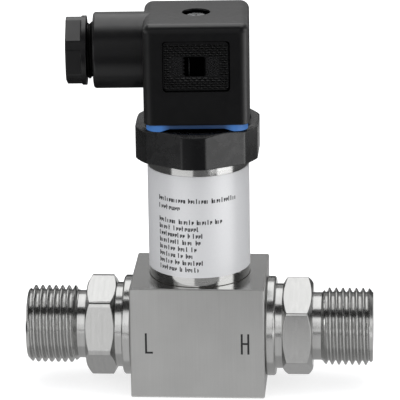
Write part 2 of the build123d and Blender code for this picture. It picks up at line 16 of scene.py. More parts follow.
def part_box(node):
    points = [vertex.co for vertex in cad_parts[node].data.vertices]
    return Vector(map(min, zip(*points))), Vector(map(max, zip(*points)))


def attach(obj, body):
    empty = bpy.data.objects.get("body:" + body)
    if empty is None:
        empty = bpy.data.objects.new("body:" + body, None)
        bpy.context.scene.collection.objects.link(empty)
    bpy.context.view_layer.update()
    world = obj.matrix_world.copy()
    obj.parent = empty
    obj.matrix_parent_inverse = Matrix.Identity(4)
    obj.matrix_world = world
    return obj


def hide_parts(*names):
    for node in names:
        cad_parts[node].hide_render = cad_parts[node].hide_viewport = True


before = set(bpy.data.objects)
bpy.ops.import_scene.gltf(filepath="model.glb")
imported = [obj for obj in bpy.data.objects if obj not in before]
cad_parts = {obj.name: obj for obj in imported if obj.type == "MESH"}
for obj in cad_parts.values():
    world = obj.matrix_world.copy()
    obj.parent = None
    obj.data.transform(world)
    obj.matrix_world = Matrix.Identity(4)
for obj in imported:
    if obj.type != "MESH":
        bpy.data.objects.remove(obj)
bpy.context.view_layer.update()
MM = 0.001


def box_mm(node):
    """Lowest and highest corner of a node, in millimetres."""
    low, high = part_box(node)
    return low / MM, high / MM


# %% [markdown]
# ## Colours and nodes
#
# A colour is easiest to read as the hex value that a picture editor shows. Blender mixes
# light in linear numbers, so one function turns the one into the other. A second function
# adds one shader node with its settings and links, and hands back the output that the next
# node needs, which keeps each material short.

# %% Small tools for materials
def linear(hex_code):
    """Turns an sRGB hex value into linear red, green, blue and alpha."""
    parts = [int(hex_code[i:i + 2], 16) / 255 for i in (1, 3, 5)]
    curve = [p / 12.92 if p <= 0.04045 else ((p + 0.055) / 1.055) ** 2.4 for p in parts]
    return (*curve, 1.0)


def add(owner, kind, sockets=None, output=0, **settings):
    """Adds one node, sets its properties, fills its sockets, and returns one output."""
    tree = owner.node_tree
    node = tree.nodes.new("ShaderNode" + kind)
    for key, value in settings.items():
        setattr(node, key, value)
    for key, value in (sockets or {}).items():
        if isinstance(value, bpy.types.NodeSocket):
            tree.links.new(value, node.inputs[key])
        else:
            node.inputs[key].default_value = value
    return node.outputs[output] if node.outputs else None


def new_material(name):
    """An empty material with node wiring."""
    material = bpy.data.materials.new(name)
    material.use_nodes = True
    material.node_tree.nodes.clear()
    return material


def patterned(name):
    """An empty material, and the object's own coordinates for its patterns."""
    material = new_material(name)
    return material, add(material, "TexCoord", output="Object")


def finish_with(material, sockets):
    """Ends a material in one Principled shader with these sockets."""
    add(material, "OutputMaterial", {"Surface": add(material, "BsdfPrincipled", sockets)})
    return material


def per_mm(spacing):
    """Texture scale, in repeats per metre, of a pattern with this spacing in millimetres."""
    return 1 / (spacing * MM)


TIMES = {"data_type": "RGBA", "blend_type": "MULTIPLY"}


def toned(material, hex_code, pattern, dark, light, start=0.0, end=1.0):
    """A colour that the pattern makes darker at its start and lighter at its end."""
    tone = add(material, "MapRange", {
        "Value": pattern, "From Min": start, "From Max": end, "To Min": dark, "To Max": light,
    })
    return add(material, "Mix", {0: 1.0, 6: linear(hex_code), 7: tone}, output=2, **TIMES)


def looks_up(material):
    """How far a face looks up: 1 for a top, 0 for a wall and -1 for an underside."""
    return add(material, "SeparateXYZ", {0: add(material, "NewGeometry", output="Normal")}, "Z")


# %% [markdown]
# ## Stainless steel, three ways
#
# All the metal outside is one alloy, an austenitic stainless steel, but each piece left its
# machine with other marks. The block was ground on a belt, which leaves straight scratches.
# The fittings were turned, which leaves fine rings around their axis. The tube was drawn
# and polished, so it shows the room almost like a mirror, with faint rings.
#
# A scratch is a bump that is very long one way. Noise does that when the coordinates are
# squeezed before it reads them.

# %% Belt-ground steel for the block
GROUND_STEEL = "#C0C0BF"
SCRATCH_WIDTH = 0.30      # drawn coarser than the real 0.05, to show at this picture's size
SCRATCH_LENGTH = 18.0
SCRATCH_DEPTH = 0.05
CLOUD_WIDTH = 9.0
WALL_ROUGHNESS, TOP_ROUGHNESS = (0.30, 0.46), (0.10, 0.26)
EDGE_ROUGHNESS = 0.7      # the edges were broken by hand with a file
EDGE_TILT = 0.7           # a face that looks up or down more than this is level
EDGE_FROM, EDGE_TO = 0.1, 0.97      # a face between these two tilts is a filed edge


def ground_stainless_steel():
    """Matt steel with straight scratches: upright on the walls, from left to right on top."""
    material, place = patterned("ground_stainless_steel")
    fine, long = per_mm(SCRATCH_WIDTH), per_mm(SCRATCH_LENGTH)
    on_walls, on_top = (
        add(material, "TexNoise", {
            "Vector": add(material, "VectorMath", {0: place, 1: stretch}, operation="MULTIPLY"),
            "Scale": 1.0, "Detail": 3.0, "Roughness": 0.6,
        })
        for stretch in ((fine, fine, long), (long, fine, fine))
    )
    steep = add(material, "Math", {0: looks_up(material)}, operation="ABSOLUTE")
    is_top = add(material, "Math", {0: steep, 1: EDGE_TILT}, operation="GREATER_THAN")
    scratches = add(material, "Mix", {0: is_top, 2: on_walls, 3: on_top}, data_type="FLOAT")
    relief = add(material, "Bump", {
        "Height": scratches, "Strength": 0.22, "Distance": SCRATCH_DEPTH * MM,
    })
    wall, top = (
        add(material, "MapRange", {"Value": scratches, "To Min": least, "To Max": most})
        for least, most in (WALL_ROUGHNESS, TOP_ROUGHNESS)
    )
    flat = add(material, "Mix", {0: is_top, 2: wall, 3: top}, data_type="FLOAT")
    off_wall, off_top = (
        add(material, "MapRange", {"Value": steep, "From Min": flush, "From Max": tilted})
        for flush, tilted in ((0.0, EDGE_FROM), (1.0, EDGE_TO))
    )
    edge = add(material, "Math", {0: off_wall, 1: off_top}, operation="MULTIPLY")
    rough = add(material, "Mix", {0: edge, 2: flat, 3: EDGE_ROUGHNESS}, data_type="FLOAT")
    cloud = add(material, "TexNoise", {
        "Vector": place, "Scale": per_mm(CLOUD_WIDTH), "Detail": 2.0,
    })
    patchy = add(material, "Math", {0: scratches, 1: cloud}, operation="ADD")
    return finish_with(material, {
        "Base Color": toned(material, GROUND_STEEL, patchy, 0.94, 1.06, 0.6, 1.4),
        "Metallic": 1.0, "Roughness": rough, "Normal": relief,
    })


# %% Turned steel for the fittings and drawn steel for the tube
TURNED_STEEL = "#C4C4C3"
DRAWN_STEEL = "#CDCDCC"
FEED_MARK = 0.16          # ring spacing, about twice the real feed of the lathe tool
STREAK_WIDTH = 1.1
GRAIN_DEPTH = 0.02        # height of every fine bump from here on
ALONG_X = (0.0, 1.0, 1.0)
ALONG_Z = (1.0, 1.0, 0.0)


def ringed_stainless_steel(name, hex_code, axis_height, across, roughness, depth):
    """Steel with fine rings around an axis: noise that reads only radius and travel."""
    material, place = patterned(name)
    axis, along = (0, 0, axis_height * MM), [1 - a for a in across]
    centred = add(material, "VectorMath", {0: place, 1: axis}, operation="SUBTRACT")
    off_axis = add(material, "VectorMath", {0: centred, 1: across}, operation="MULTIPLY")
    radius = add(material, "VectorMath", {0: off_axis}, "Value", operation="LENGTH")
    travel = add(material, "VectorMath", {0: centred, 1: along}, "Value", operation="DOT_PRODUCT")
    ring_place = add(material, "CombineXYZ", {"X": radius, "Y": travel})
    rings, streaks = (
        add(material, "TexNoise", {"Vector": ring_place, "Scale": per_mm(gap), "Detail": detail})
        for gap, detail in ((FEED_MARK, 2.0), (STREAK_WIDTH, 3.0))
    )
    relief = add(material, "Bump", {
        "Height": rings, "Strength": depth, "Distance": GRAIN_DEPTH * MM,
    })
    rough = add(material, "MapRange", {
        "Value": rings, "To Min": roughness - 0.04, "To Max": roughness + 0.06,
    })
    return finish_with(material, {
        "Base Color": toned(material, hex_code, streaks, 0.95, 1.03, 0.3, 0.7),
        "Metallic": 1.0, "Roughness": rough, "Normal": relief,
    })


# %% [markdown]
# ## Moulded polyamide
#
# The plug, the gland nut and the ring nut are black polyamide filled with glass fibre. The
# mould is spark-eroded to a fine satin grain, so the plastic is dark from the front and
# turns grey where it catches a lamp at a low angle. The fibres leave faint cloudy streaks.

# %% Black plastics
MOULD_GRAIN = 0.22        # spark-eroded grain, drawn about three times as coarse as real
FIBRE_CLOUD = 3.5
# The pits of the grain swallow the gloss seen straight on, and hide behind the peaks at a slant
GLOSS_HIDDEN, GLOSS_OPEN = 0.15, 0.74
GLOSS_STARTS, GLOSS_FULL = 0.06, 0.24     # 1 minus the cosine of the slant
EARLY_FULL, NEVER_FULL = 0.2, 4.0         # for a finer grain, and for plastic in deep shade
UNDERSIDE_GLOSS_SHADE = 0.2         # gloss kept on faces that look down: painted shade on undersides
BLACK_POLYAMIDE, BLACK_RING, DARK_GREY_INSERT = "#101011", "#141415", "#4A4C4E"
RUBBED_AND_LIT_BLACK = "#222223"  # a little paler: worn by fingers on the grip, and a painted highlight on the window's tongue
# Near black of painted shade: thin dark sheets where deep shade falls, and the gland's shaded
# thread
PAINTED_SHADE_BLACK = "#010101"


def moulded_polyamide(name, hex_code, roughness, grain=0.25, drift=0.045, full=GLOSS_FULL):
    """Satin plastic with a fine mould grain and slow clouds in its gloss."""
    material, place = patterned(name)
    fine = add(material, "TexNoise", {
        "Vector": place, "Scale": per_mm(MOULD_GRAIN), "Detail": 2.0,
    })
    cloud = add(material, "TexNoise", {
        "Vector": place, "Scale": per_mm(FIBRE_CLOUD), "Detail": 5.0, "Distortion": 1.2,
    })
    relief = add(material, "Bump", {
        "Height": fine, "Strength": grain, "Distance": GRAIN_DEPTH * MM,
    })
    rough = add(material, "MapRange", {
        "Value": cloud, "From Min": 0.3, "From Max": 0.7,
        "To Min": roughness - drift, "To Max": roughness + drift,
    })
    slanted = add(material, "MapRange", {
        "Value": add(material, "LayerWeight", {"Blend": 0.5}, "Facing"),
        "From Min": GLOSS_STARTS, "From Max": full, "To Min": GLOSS_HIDDEN, "To Max": GLOSS_OPEN,
    })
    # Weaker gloss on faces that look down paints shade on the undersides
    below = add(material, "MapRange", {
        "Value": looks_up(material), "From Min": -0.5, "From Max": -0.1, "To Min": UNDERSIDE_GLOSS_SHADE,
    })
    gloss = add(material, "Math", {0: slanted, 1: below}, operation="MULTIPLY")
    return finish_with(material, {
        "Base Color": linear(hex_code), "Roughness": rough, "IOR": 1.53,
        "Specular IOR Level": gloss, "Normal": relief,
    })


def painted_shade_material():
    """Matt black painted shade for deep places, where the light dies after a few bounces."""
    return finish_with(new_material("matt_black_painted_shade"), {
        "Base Color": linear(PAINTED_SHADE_BLACK), "Roughness": 0.8, "Specular IOR Level": 0.0,
    })


# %% [markdown]
# ## Soft and printed surfaces
#
# The gasket is blue silicone, moulded smooth. The seals are black nitrile. The label is a
# polyester film with a silver coat under white print, so it is nearly white and a little
# glossier than paper. The print and the two port letters are thin dark pieces of their own.
#
# The middle of each side of the gasket is a low web that stands back under the plug, where
# little light arrives. A soft step down in its colour, worked out from the place on the gasket,
# is painted shade that stays the same in every light.

# %% Rubber, film and ink
BLUE_SILICONE, BLACK_NITRILE, RED_WIRE = "#3978C3", "#161617", "#8E1B16"
SILVER_FILM, PRINT_INK, LASER_MARK = "#E8E8E9", "#1C1C1E", "#2B2B2C"
WHITE_ACETAL = "#DCDCD6"
PLUG_TURN = 3.2           # degrees that the plug and its gasket sit off square
WEB_DIMMED = 0.74         # how much darker the painted shade makes the middle of each side
WEB_DARK_TO, WEB_CLEAR_FROM = 6.6, 9.8
WEB_SIDE_IN, WEB_SIDE_OUT = 12.9, 13.3


def shade_of_the_web(material, place, colour):
    """Painted shade: dims the middle of the gasket's sides, which stand back under the plug."""
    angle = {"Vector": place, "Angle": radians(-PLUG_TURN)}
    turned = add(material, "VectorRotate", angle, rotation_type="Z_AXIS")
    x, y = (add(material, "SeparateXYZ", {0: turned}, axis) for axis in "XY")
    x, y = (add(material, "Math", {0: length}, operation="ABSOLUTE") for length in (x, y))
    middle = add(material, "MapRange", {
        "Value": add(material, "Math", {0: x, 1: y}, operation="MINIMUM"),
        "From Min": WEB_DARK_TO * MM, "From Max": WEB_CLEAR_FROM * MM,
        "To Min": -WEB_DIMMED, "To Max": 0.0,
    }, interpolation_type="SMOOTHSTEP")
    side = add(material, "MapRange", {
        "Value": add(material, "Math", {0: x, 1: y}, operation="MAXIMUM"),
        "From Min": WEB_SIDE_IN * MM, "From Max": WEB_SIDE_OUT * MM,
    })
    factor = add(material, "Math", {0: middle, 1: side, 2: 1.0}, operation="MULTIPLY_ADD")
    return add(material, "Mix", {0: 1.0, 6: colour, 7: factor}, output=2, **TIMES)


def soft_sheen(name, hex_code, roughness, spacing, depth, ior=1.45, metallic=0.0, dim=None):
    """A smooth surface with a weak grain of the given spacing in millimetres."""
    material, place = patterned(name)
    grain = add(material, "TexNoise", {"Vector": place, "Scale": per_mm(spacing), "Detail": 3.0})
    relief = add(material, "Bump", {
        "Height": grain, "Strength": depth, "Distance": GRAIN_DEPTH * MM,
    })
    colour = toned(material, hex_code, grain, 0.97, 1.03)
    return finish_with(material, {
        "Base Color": dim(material, place, colour) if dim else colour,
        "Metallic": metallic, "Roughness": roughness, "IOR": ior, "Normal": relief,
    })


# %% [markdown]
# ## Small metals
#
# Zinc plate on the screws is bright and a little uneven, tin on the contacts is whiter and
# softer, and the threaded insert is bare brass. One function serves them: a metal colour
# whose gloss drifts slowly, as plating does. It also serves the weld, coloured dark as
# painted shade for the thin shaded line at the tube's foot.

# %% Plated and bare small metals
ZINC_PLATE, TIN_PLATE, BARE_BRASS = "#D4D5D6", "#C9C7C0", "#C9A45C"
GOLD_FLASH, SENSOR_STEEL, DRAWN_ALUMINIUM = "#D8B967", "#BDBCB8", "#C8C9CB"
WELD_SHADE = "#4E4B48"     # dark as painted shade in the corner at the tube's foot


def drifting_metal(name, hex_code, roughness, patch):
    """Metal whose roughness wanders over patches of the given size in millimetres."""
    material, place = patterned(name)
    drift = add(material, "TexNoise", {"Vector": place, "Scale": per_mm(patch), "Detail": 4.0})
    rough = add(material, "MapRange", {
        "Value": drift, "To Min": roughness * 0.7, "To Max": roughness * 1.3,
    })
    relief = add(material, "Bump", {
        "Height": drift, "Strength": 0.1, "Distance": GRAIN_DEPTH * MM,
    })
    return finish_with(material, {
        "Base Color": linear(hex_code), "Metallic": 1.0, "Roughness": rough, "Normal": relief,
    })


# %% [markdown]
# ## Circuit board
#
# A board is glass laminate under green lacquer, with copper tracks that stand up a little
# and read as lighter green lines. A brick pattern with wide bricks gives such lines.

# %% Green board
BOARD_GREEN, TRACK_GREEN = "#14512C", "#1F7A40"
TRACK_PITCH, TRACK_WIDTH = 0.9, 0.12


def lacquered_board():
    """Green lacquer over tracks that run in steps across the board."""
    material, place = patterned("lacquered_board")
    tracks = add(material, "TexBrick", {
        "Vector": place, "Scale": per_mm(1.0), "Mortar Size": TRACK_WIDTH,
        "Color1": linear(BOARD_GREEN), "Color2": linear(BOARD_GREEN),
        "Mortar": linear(TRACK_GREEN),
        "Brick Width": 5 * TRACK_PITCH, "Row Height": TRACK_PITCH,
    }, offset=0.37)
    return finish_with(material, {"Base Color": tracks, "Roughness": 0.25, "Coat Weight": 0.4})


# %% Make the materials once
BLOCK_LOW, BLOCK_HIGH = box_mm("process_block")
TUBE_LOW, TUBE_HIGH = box_mm("housing_tube")
PORT_HEIGHT = TUBE_LOW.z / 2

ground_steel = ground_stainless_steel()
turned_steel = ringed_stainless_steel(
    "turned_stainless_steel", TURNED_STEEL, PORT_HEIGHT, ALONG_X, 0.19, 0.03
)
drawn_steel = ringed_stainless_steel(
    "drawn_stainless_steel", DRAWN_STEEL, 0.0, ALONG_Z, 0.12, 0.05
)
plug_polyamide = moulded_polyamide("black_polyamide", BLACK_POLYAMIDE, 0.34)
ring_polyamide = moulded_polyamide(
    "black_ring_polyamide", BLACK_RING, 0.27, grain=0.03, drift=0.05, full=EARLY_FULL
)
insert_polyamide = moulded_polyamide("grey_polyamide", DARK_GREY_INSERT, 0.50)
rubbed_and_lit_polyamide = moulded_polyamide("rubbed_and_lit_polyamide", RUBBED_AND_LIT_BLACK, 0.42, full=EARLY_FULL)
# The gland's thread is near black as painted shade in its narrow gap
thread_polyamide = moulded_polyamide("shaded_polyamide", PAINTED_SHADE_BLACK, 0.5, full=NEVER_FULL)
chip_epoxy = moulded_polyamide("black_epoxy", BLACK_POLYAMIDE, 0.55)
# Painted shade: the matt black of the thin sheets laid in deep places
shade_paint = painted_shade_material()
board_lacquer = lacquered_board()
# The blue silicone carries painted shade on the middle of each side of the gasket
# After the name and the colour: roughness, spacing of the grain in millimetres, and its strength
blue_silicone = soft_sheen(
    "blue_silicone", BLUE_SILICONE, 0.42, 0.4, 0.15, dim=shade_of_the_web
)
black_nitrile = soft_sheen("black_nitrile", BLACK_NITRILE, 0.55, 0.3, 0.2, ior=1.52)
silver_film = soft_sheen("silver_film", SILVER_FILM, 0.38, 0.5, 0.05, metallic=0.25)
print_ink = soft_sheen("print_ink", PRINT_INK, 0.5, 0.2, 0.1)
laser_mark = soft_sheen("laser_mark", LASER_MARK, 0.7, 0.15, 0.3)
white_acetal = soft_sheen("white_acetal", WHITE_ACETAL, 0.4, 0.5, 0.1, ior=1.48)
red_wire = soft_sheen("red_wire_sleeve", RED_WIRE, 0.4, 0.4, 0.1)
# After the name and the colour: roughness, and size of its patches in millimetres
zinc_plate = drifting_metal("zinc_plate", ZINC_PLATE, 0.24, 1.5)
tin_plate = drifting_metal("tin_plate", TIN_PLATE, 0.30, 1.2)
bare_brass = drifting_metal("bare_brass", BARE_BRASS, 0.28, 1.2)
gold_flash = drifting_metal("gold_flash", GOLD_FLASH, 0.25, 1.0)
sensor_steel = drifting_metal("sensor_steel", SENSOR_STEEL, 0.25, 2.0)
can_aluminium = drifting_metal("can_aluminium", DRAWN_ALUMINIUM, 0.30, 1.5)
# The weld's dark colour is painted shade for the corner at the tube's foot
weld_shade = drifting_metal("weld_steel_painted_shade", WELD_SHADE, 0.35, 0.8)
print("materials:", len(bpy.data.materials))


# %% [markdown]
# ## Dress the pieces whose shape is ready
#
# Most nodes already have the shape of the real piece, so they only need their finish. The
# old slots go and the new material takes their place.

# %% Give each node its finish
CONTACTS = ("signal", "spare", "supply", "earth")
dress = (
    (ground_steel, ["process_block"]),
    (drawn_steel, ["housing_tube"]),
    (silver_film, ["label"]),
    (sensor_steel, ["sensor_capsule", "low_side_diaphragm", "high_side_diaphragm"]),
    (black_nitrile, ["low_side_seal", "high_side_seal", "base_seal", "screw_seal"]),
    (black_nitrile, ["cable_grommet"]),
    (gold_flash, ["header_pins"]),
    (white_acetal, ["board_posts", "gland_washer"]),
    (board_lacquer, ["conditioning_board", "output_board"]),
    (chip_epoxy, ["conditioning_chip", "output_chip"]),
    (can_aluminium, ["filter_capacitors"]),
    (red_wire, ["link_wires"]),
    (plug_polyamide, ["connector_base", "plug_housing"]),
    (bare_brass, ["thread_insert"]),
    (blue_silicone, ["profile_gasket"]),
    (insert_polyamide, ["terminal_insert"]),
    (zinc_plate, ["terminal_screws"]),
    (tin_plate, [f"{contact}_{kind}" for contact in CONTACTS for kind in ("blade", "clip")]),
)
for material, node_names in dress:
    for node_name in node_names:
        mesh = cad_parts[node_name].data
        mesh.materials.clear()
        mesh.materials.append(material)
print("dressed nodes:", sum(len(node_names) for material, node_names in dress))


# %% [markdown]
# ## A lathe that can also mill
#
# A turned piece is a profile swept round an axis. A hexagon nut is one too, if the profile
# may change with the angle: on a flat the rim comes in, at a corner it goes out. So each
# angle gets a column of points, given as travel along the axis and radius, and neighbouring
# columns are joined by faces. Every column has the same number of points.
#
# Sharp corners look false, because real ones are broken by the tool. `eased` cuts each
# corner of a column and puts a short curve there.

# %% Columns and faces
CUT_SHARE = 0.45          # the most of an edge that one eased corner takes
NO_LENGTH = 1e-6
MERGE_GAP, SHORTEST_EDGE = 2e-6, 1e-7     # metres


def eased(profile, radius, steps=4):
    """Replaces each inner corner of a profile by a short curve of the same point count."""
    points = [profile[0]]
    for before, corner, after in zip(profile, profile[1:], profile[2:]):
        cuts = []
        for other in (before, after):
            gap = hypot(other[0] - corner[0], other[1] - corner[1])
            share = min(radius, CUT_SHARE * gap) / gap if gap > NO_LENGTH else 0.0
            cuts.append(tuple(c + (o - c) * share for c, o in zip(corner, other)))
        for i in range(steps + 1):
            t = i / steps
            weights = ((1 - t) ** 2, 2 * t * (1 - t), t * t)
            points.append(
                tuple(
                    sum(w * p[axis] for w, p in zip(weights, (cuts[0], corner, cuts[1])))
                    for axis in (0, 1)
                )
            )
    points.append(profile[-1])
    return points


def sideways(side, height, turn=0.0):
    """Places a column on a level axis: angle 0 faces the front and 90 faces up."""
    swing = Matrix.Rotation(radians(turn), 3, "Z")
    return lambda angle, travel, radius: swing @ Vector(
        (side * travel, -radius * cos(angle), height + radius * sin(angle))
    )


def upright(angle, travel, radius):
    """Places a point of a column on the vertical axis: angle 0 faces the front."""
    return Vector((radius * sin(angle), -radius * cos(angle), travel))


def wrap(mesh, place, angles, columns, seam_shift=0):
    """Joins the columns round the axis. A thread meets itself one pitch on at the seam."""
    grid = [
        [mesh.verts.new(place(angle, travel, radius) * MM) for travel, radius in column]
        for angle, column in zip(angles, columns)
    ]
    last = len(grid) - 1
    for i, column in enumerate(grid):
        beside = grid[(i + 1) % len(grid)]
        shift = seam_shift if i == last else 0
        for k in range(len(column) - 1):
            if 0 <= k + shift and k + 1 + shift < len(beside):
                mesh.faces.new(
                    (column[k], column[k + 1], beside[k + 1 + shift], beside[k + shift])
                )


def lathe(angles, columns):
    """A new mesh of columns that stand round the vertical axis."""
    mesh = bmesh.new()
    wrap(mesh, upright, angles, columns)
    return mesh


def settle(mesh, name, materials, body, replaces=(), crease=40.0, thickness=0.0):
    """Merges the points, shades the faces and hands the piece to its body."""
    materials = materials if isinstance(materials, tuple) else (materials,)
    bmesh.ops.remove_doubles(mesh, verts=mesh.verts, dist=MERGE_GAP)
    bmesh.ops.dissolve_degenerate(mesh, edges=mesh.edges, dist=SHORTEST_EDGE)
    bmesh.ops.recalc_face_normals(mesh, faces=mesh.faces)
    data = bpy.data.meshes.new(name)
    mesh.to_mesh(data)
    mesh.free()
    for material in materials:
        data.materials.append(material)
    data.polygons.foreach_set("use_smooth", [True] * len(data.polygons))
    data.set_sharp_from_angle(angle=radians(crease))
    piece = bpy.data.objects.new(name, data)
    bpy.context.scene.collection.objects.link(piece)
    if thickness:
        sheet = piece.modifiers.new("sheet thickness", "SOLIDIFY")
        sheet.thickness, sheet.offset = thickness * MM, 0.0
    weighted = piece.modifiers.new("flat faces stay flat", "WEIGHTED_NORMAL")
    weighted.keep_sharp = True
    if replaces:
        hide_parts(*replaces)
    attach(piece, body)
    print(name, "faces:", len(data.polygons))
    return piece


# %% [markdown]
# ## Angles for a hexagon
#
# The columns stand every few degrees, and closer beside each corner, so that the corner
# keeps a narrow broken edge instead of a knife edge. Where corners are turned down to a
# cylinder, the columns crowd where flat and cylinder meet.

# %% Hexagon rims
SIXTH = pi / 3
CROWD_GAP = 0.4           # even angles nearer than this share of a step to a crowd are left out


def hexagon_angles(tilt, meeting, spread, step=3.0):
    """Even angles round the circle, crowded at `meeting` radians from each flat's middle."""
    crowd = []
    for face in range(6):
        for side in (-1, 1):
            edge = radians(tilt) + face * SIXTH + side * meeting
            crowd += [edge - 3 * spread, edge - spread, edge + spread, edge + 3 * spread]
    crowd = sorted(set(round(a % (2 * pi), 5) for a in crowd))
    even = [radians(step * i) for i in range(round(360 / step))]
    kept = [
        a for a in even
        if all(abs((a - c + pi) % (2 * pi) - pi) > radians(step) * CROWD_GAP for c in crowd)
    ]
    return sorted(kept + crowd)


def hexagon_rim(angle, tilt, flat, turned):
    """Radius of a hexagon at this angle, with its corners turned down."""
    off = (angle - radians(tilt) + SIXTH / 2) % SIXTH - SIXTH / 2
    return min(flat / cos(off), turned)


# %% [markdown]
# ## Threads
#
# The port thread is a parallel pipe thread of 14 turns to the inch, with flanks at 55 degrees
# to each other and rounded crests and roots. Its surface is one strip that climbs the axis: a
# point that goes once round lands one pitch further on. So each column starts a little later
# than the one before it, and at the seam the faces join points one pitch apart. Both ends are
# held inside an outline: the run-out beside the hexagon and the chamfer at the free end.

# %% A helical strip held inside an outline
SPARE_TURNS = 2           # turns past each end, which are squeezed flat there and merge


def outline_radius(corners, travel):
    """Radius of the outline given by these corners at this travel."""
    for (x0, r0), (x1, r1) in zip(corners, corners[1:]):
        if travel <= x1:
            return r0 + (r1 - r0) * max(0.0, travel - x0) / (x1 - x0)
    return corners[-1][1]


def thread_tooth(pitch, depth, rounding, flank=27.5, arc_steps=4):
    """One pitch of the tooth, crest to crest: pairs of travel and fall below the crest."""
    lean = 90 - flank
    arc = [radians(lean * i / arc_steps) for i in range(arc_steps + 1)]
    crest = [(rounding * sin(a), rounding * (1 - cos(a))) for a in arc]
    root = [(pitch / 2 - x, depth - fall) for x, fall in reversed(crest)]
    middle = [((crest[-1][0] + root[0][0]) / 2, (crest[-1][1] + root[0][1]) / 2)]
    half = crest + middle + root
    return half + [(pitch - x, fall) for x, fall in reversed(half[1:-1])]


def thread_columns(angles, climb, outline, crest, tooth, pitch, first=0.0):
    """Columns of a thread: `climb` is 1 or -1 as travel grows or falls with the angle."""
    start, end = outline[0][0], outline[-1][0]
    turns = int((end - start) / pitch) + 2 * SPARE_TURNS
    columns = []
    for angle in angles:
        column = []
        for turn in range(-SPARE_TURNS, turns):
            for travel, fall in tooth:
                raw = start + first + travel + (turn + climb * angle / (2 * pi)) * pitch
                held = min(max(raw, start), end)
                column.append((held, min(crest - fall, outline_radius(outline, held))))
        columns.append(column)
    return columns, climb * len(tooth)


# %% [markdown]
# ## The two port fittings
#
# Each fitting is turned from one hexagon bar: a shank in the block, a collar welded to its
# face, a neck, the hexagon with 30 degree chamfers, a relief groove and the thread. The two
# are alike, and only the hexagon stopped at another angle when each was tightened.

# %% Fitting sizes and the builder
BLOCK_FACE = BLOCK_HIGH.x
SHANK_START, FITTING_END = (corner.x for corner in box_mm("high_side_fitting"))
SHANK_RADIUS, SHANK_LEAD = 10.0, 0.6
COLLAR_RADIUS, COLLAR_LENGTH, COLLAR_EDGE = 13.5, 2.6, 0.4
NECK_RADIUS, NECK_LENGTH = 11.5, 1.9
HEX_FLAT, HEX_LENGTH, HEX_FACE_RADIUS = 12.0, 8.1, 11.6
PIPE_CREST, PIPE_PITCH, PIPE_DEPTH = 20.955 / 2, 1.814, 1.162
PIPE_ROUNDING = 0.137 * PIPE_PITCH
CREST_AT_FRONT = 39.1     # where a crest meets the front, measured along the axis
RELIEF_DEPTH, RELIEF_LENGTH, LEAD_IN = 1.3, 3.6, 1.2
BORE_RADIUS, BORE_EDGE = 4.0, 0.5
TOOL_RADIUS = 0.14
LOW_BREAK, HIGH_BREAK = 1.9, 0.9      # half the filed edge at each corner, in degrees
CHAMFER_SLOPE = tan(radians(30))
SMOOTH_BELOW = 29.0       # degrees between faces: less is shaded round, more is an edge


def port_fitting(name, side, tilt, corner_break):
    """One fitting, with its true thread, in place of the plain node of the same name."""
    neck_start = BLOCK_FACE + COLLAR_LENGTH
    hex_start = neck_start + NECK_LENGTH
    hex_end = hex_start + HEX_LENGTH
    crest_start = hex_end + RELIEF_LENGTH
    relief = PIPE_CREST - RELIEF_DEPTH
    run_out = crest_start - RELIEF_DEPTH
    tip = PIPE_CREST - LEAD_IN
    corner = HEX_FLAT / cos(SIXTH / 2)
    angles = hexagon_angles(tilt, SIXTH / 2, radians(corner_break))
    place = sideways(side, PORT_HEIGHT)
    outline = [
        (run_out, relief),
        (crest_start, PIPE_CREST),
        (FITTING_END - LEAD_IN, PIPE_CREST),
        (FITTING_END, tip),
    ]
    mesh = bmesh.new()
    tooth = thread_tooth(PIPE_PITCH, PIPE_DEPTH, PIPE_ROUNDING)
    first = (CREST_AT_FRONT - run_out) % PIPE_PITCH
    thread, shift = thread_columns(
        angles, -side, outline, PIPE_CREST, tooth, PIPE_PITCH, first
    )
    wrap(mesh, place, angles, thread, shift)
    body_columns = []
    for angle in angles:
        rim = hexagon_rim(angle, tilt, HEX_FLAT, corner)
        cut = (rim - HEX_FACE_RADIUS) * CHAMFER_SLOPE
        profile = [
            (run_out, relief),
            (hex_end, relief),
            (hex_end, HEX_FACE_RADIUS),
            (hex_end - cut, rim),
            (hex_start + cut, rim),
            (hex_start, HEX_FACE_RADIUS),
            (hex_start, NECK_RADIUS),
            (neck_start, NECK_RADIUS),
            (neck_start, COLLAR_RADIUS - COLLAR_EDGE),
            (neck_start - COLLAR_EDGE, COLLAR_RADIUS),
            (BLOCK_FACE + COLLAR_EDGE, COLLAR_RADIUS),
            (BLOCK_FACE, COLLAR_RADIUS - COLLAR_EDGE),
            (BLOCK_FACE, SHANK_RADIUS),
            (SHANK_START + SHANK_LEAD, SHANK_RADIUS),
            (SHANK_START, SHANK_RADIUS - SHANK_LEAD),
            (SHANK_START, BORE_RADIUS),
            (FITTING_END - BORE_EDGE, BORE_RADIUS),
            (FITTING_END, BORE_RADIUS + BORE_EDGE),
            (FITTING_END, tip),
        ]
        body_columns.append(eased(profile, TOOL_RADIUS))
    wrap(mesh, place, angles, body_columns)
    settle(
        mesh, name + "_threaded", turned_steel, "transmitter", [name],
        crease=SMOOTH_BELOW,
    )


LOW_TILT, HIGH_TILT = 14.0, 3.0
port_fitting("low_side_fitting", -1, LOW_TILT, LOW_BREAK)
port_fitting("high_side_fitting", 1, HIGH_TILT, HIGH_BREAK)


# %% [markdown]
# ## The ring nut
#
# The ring nut clamps the connector base to the tube. It is moulded as a hexagon whose
# corners were rounded down to a cylinder, with a shallow chamfer on top. Inside the chamfer
# the top sinks to a shallow dish round the base. Little light gets in under the plug there,
# so a thin matt black sheet of painted shade lies on the dish.

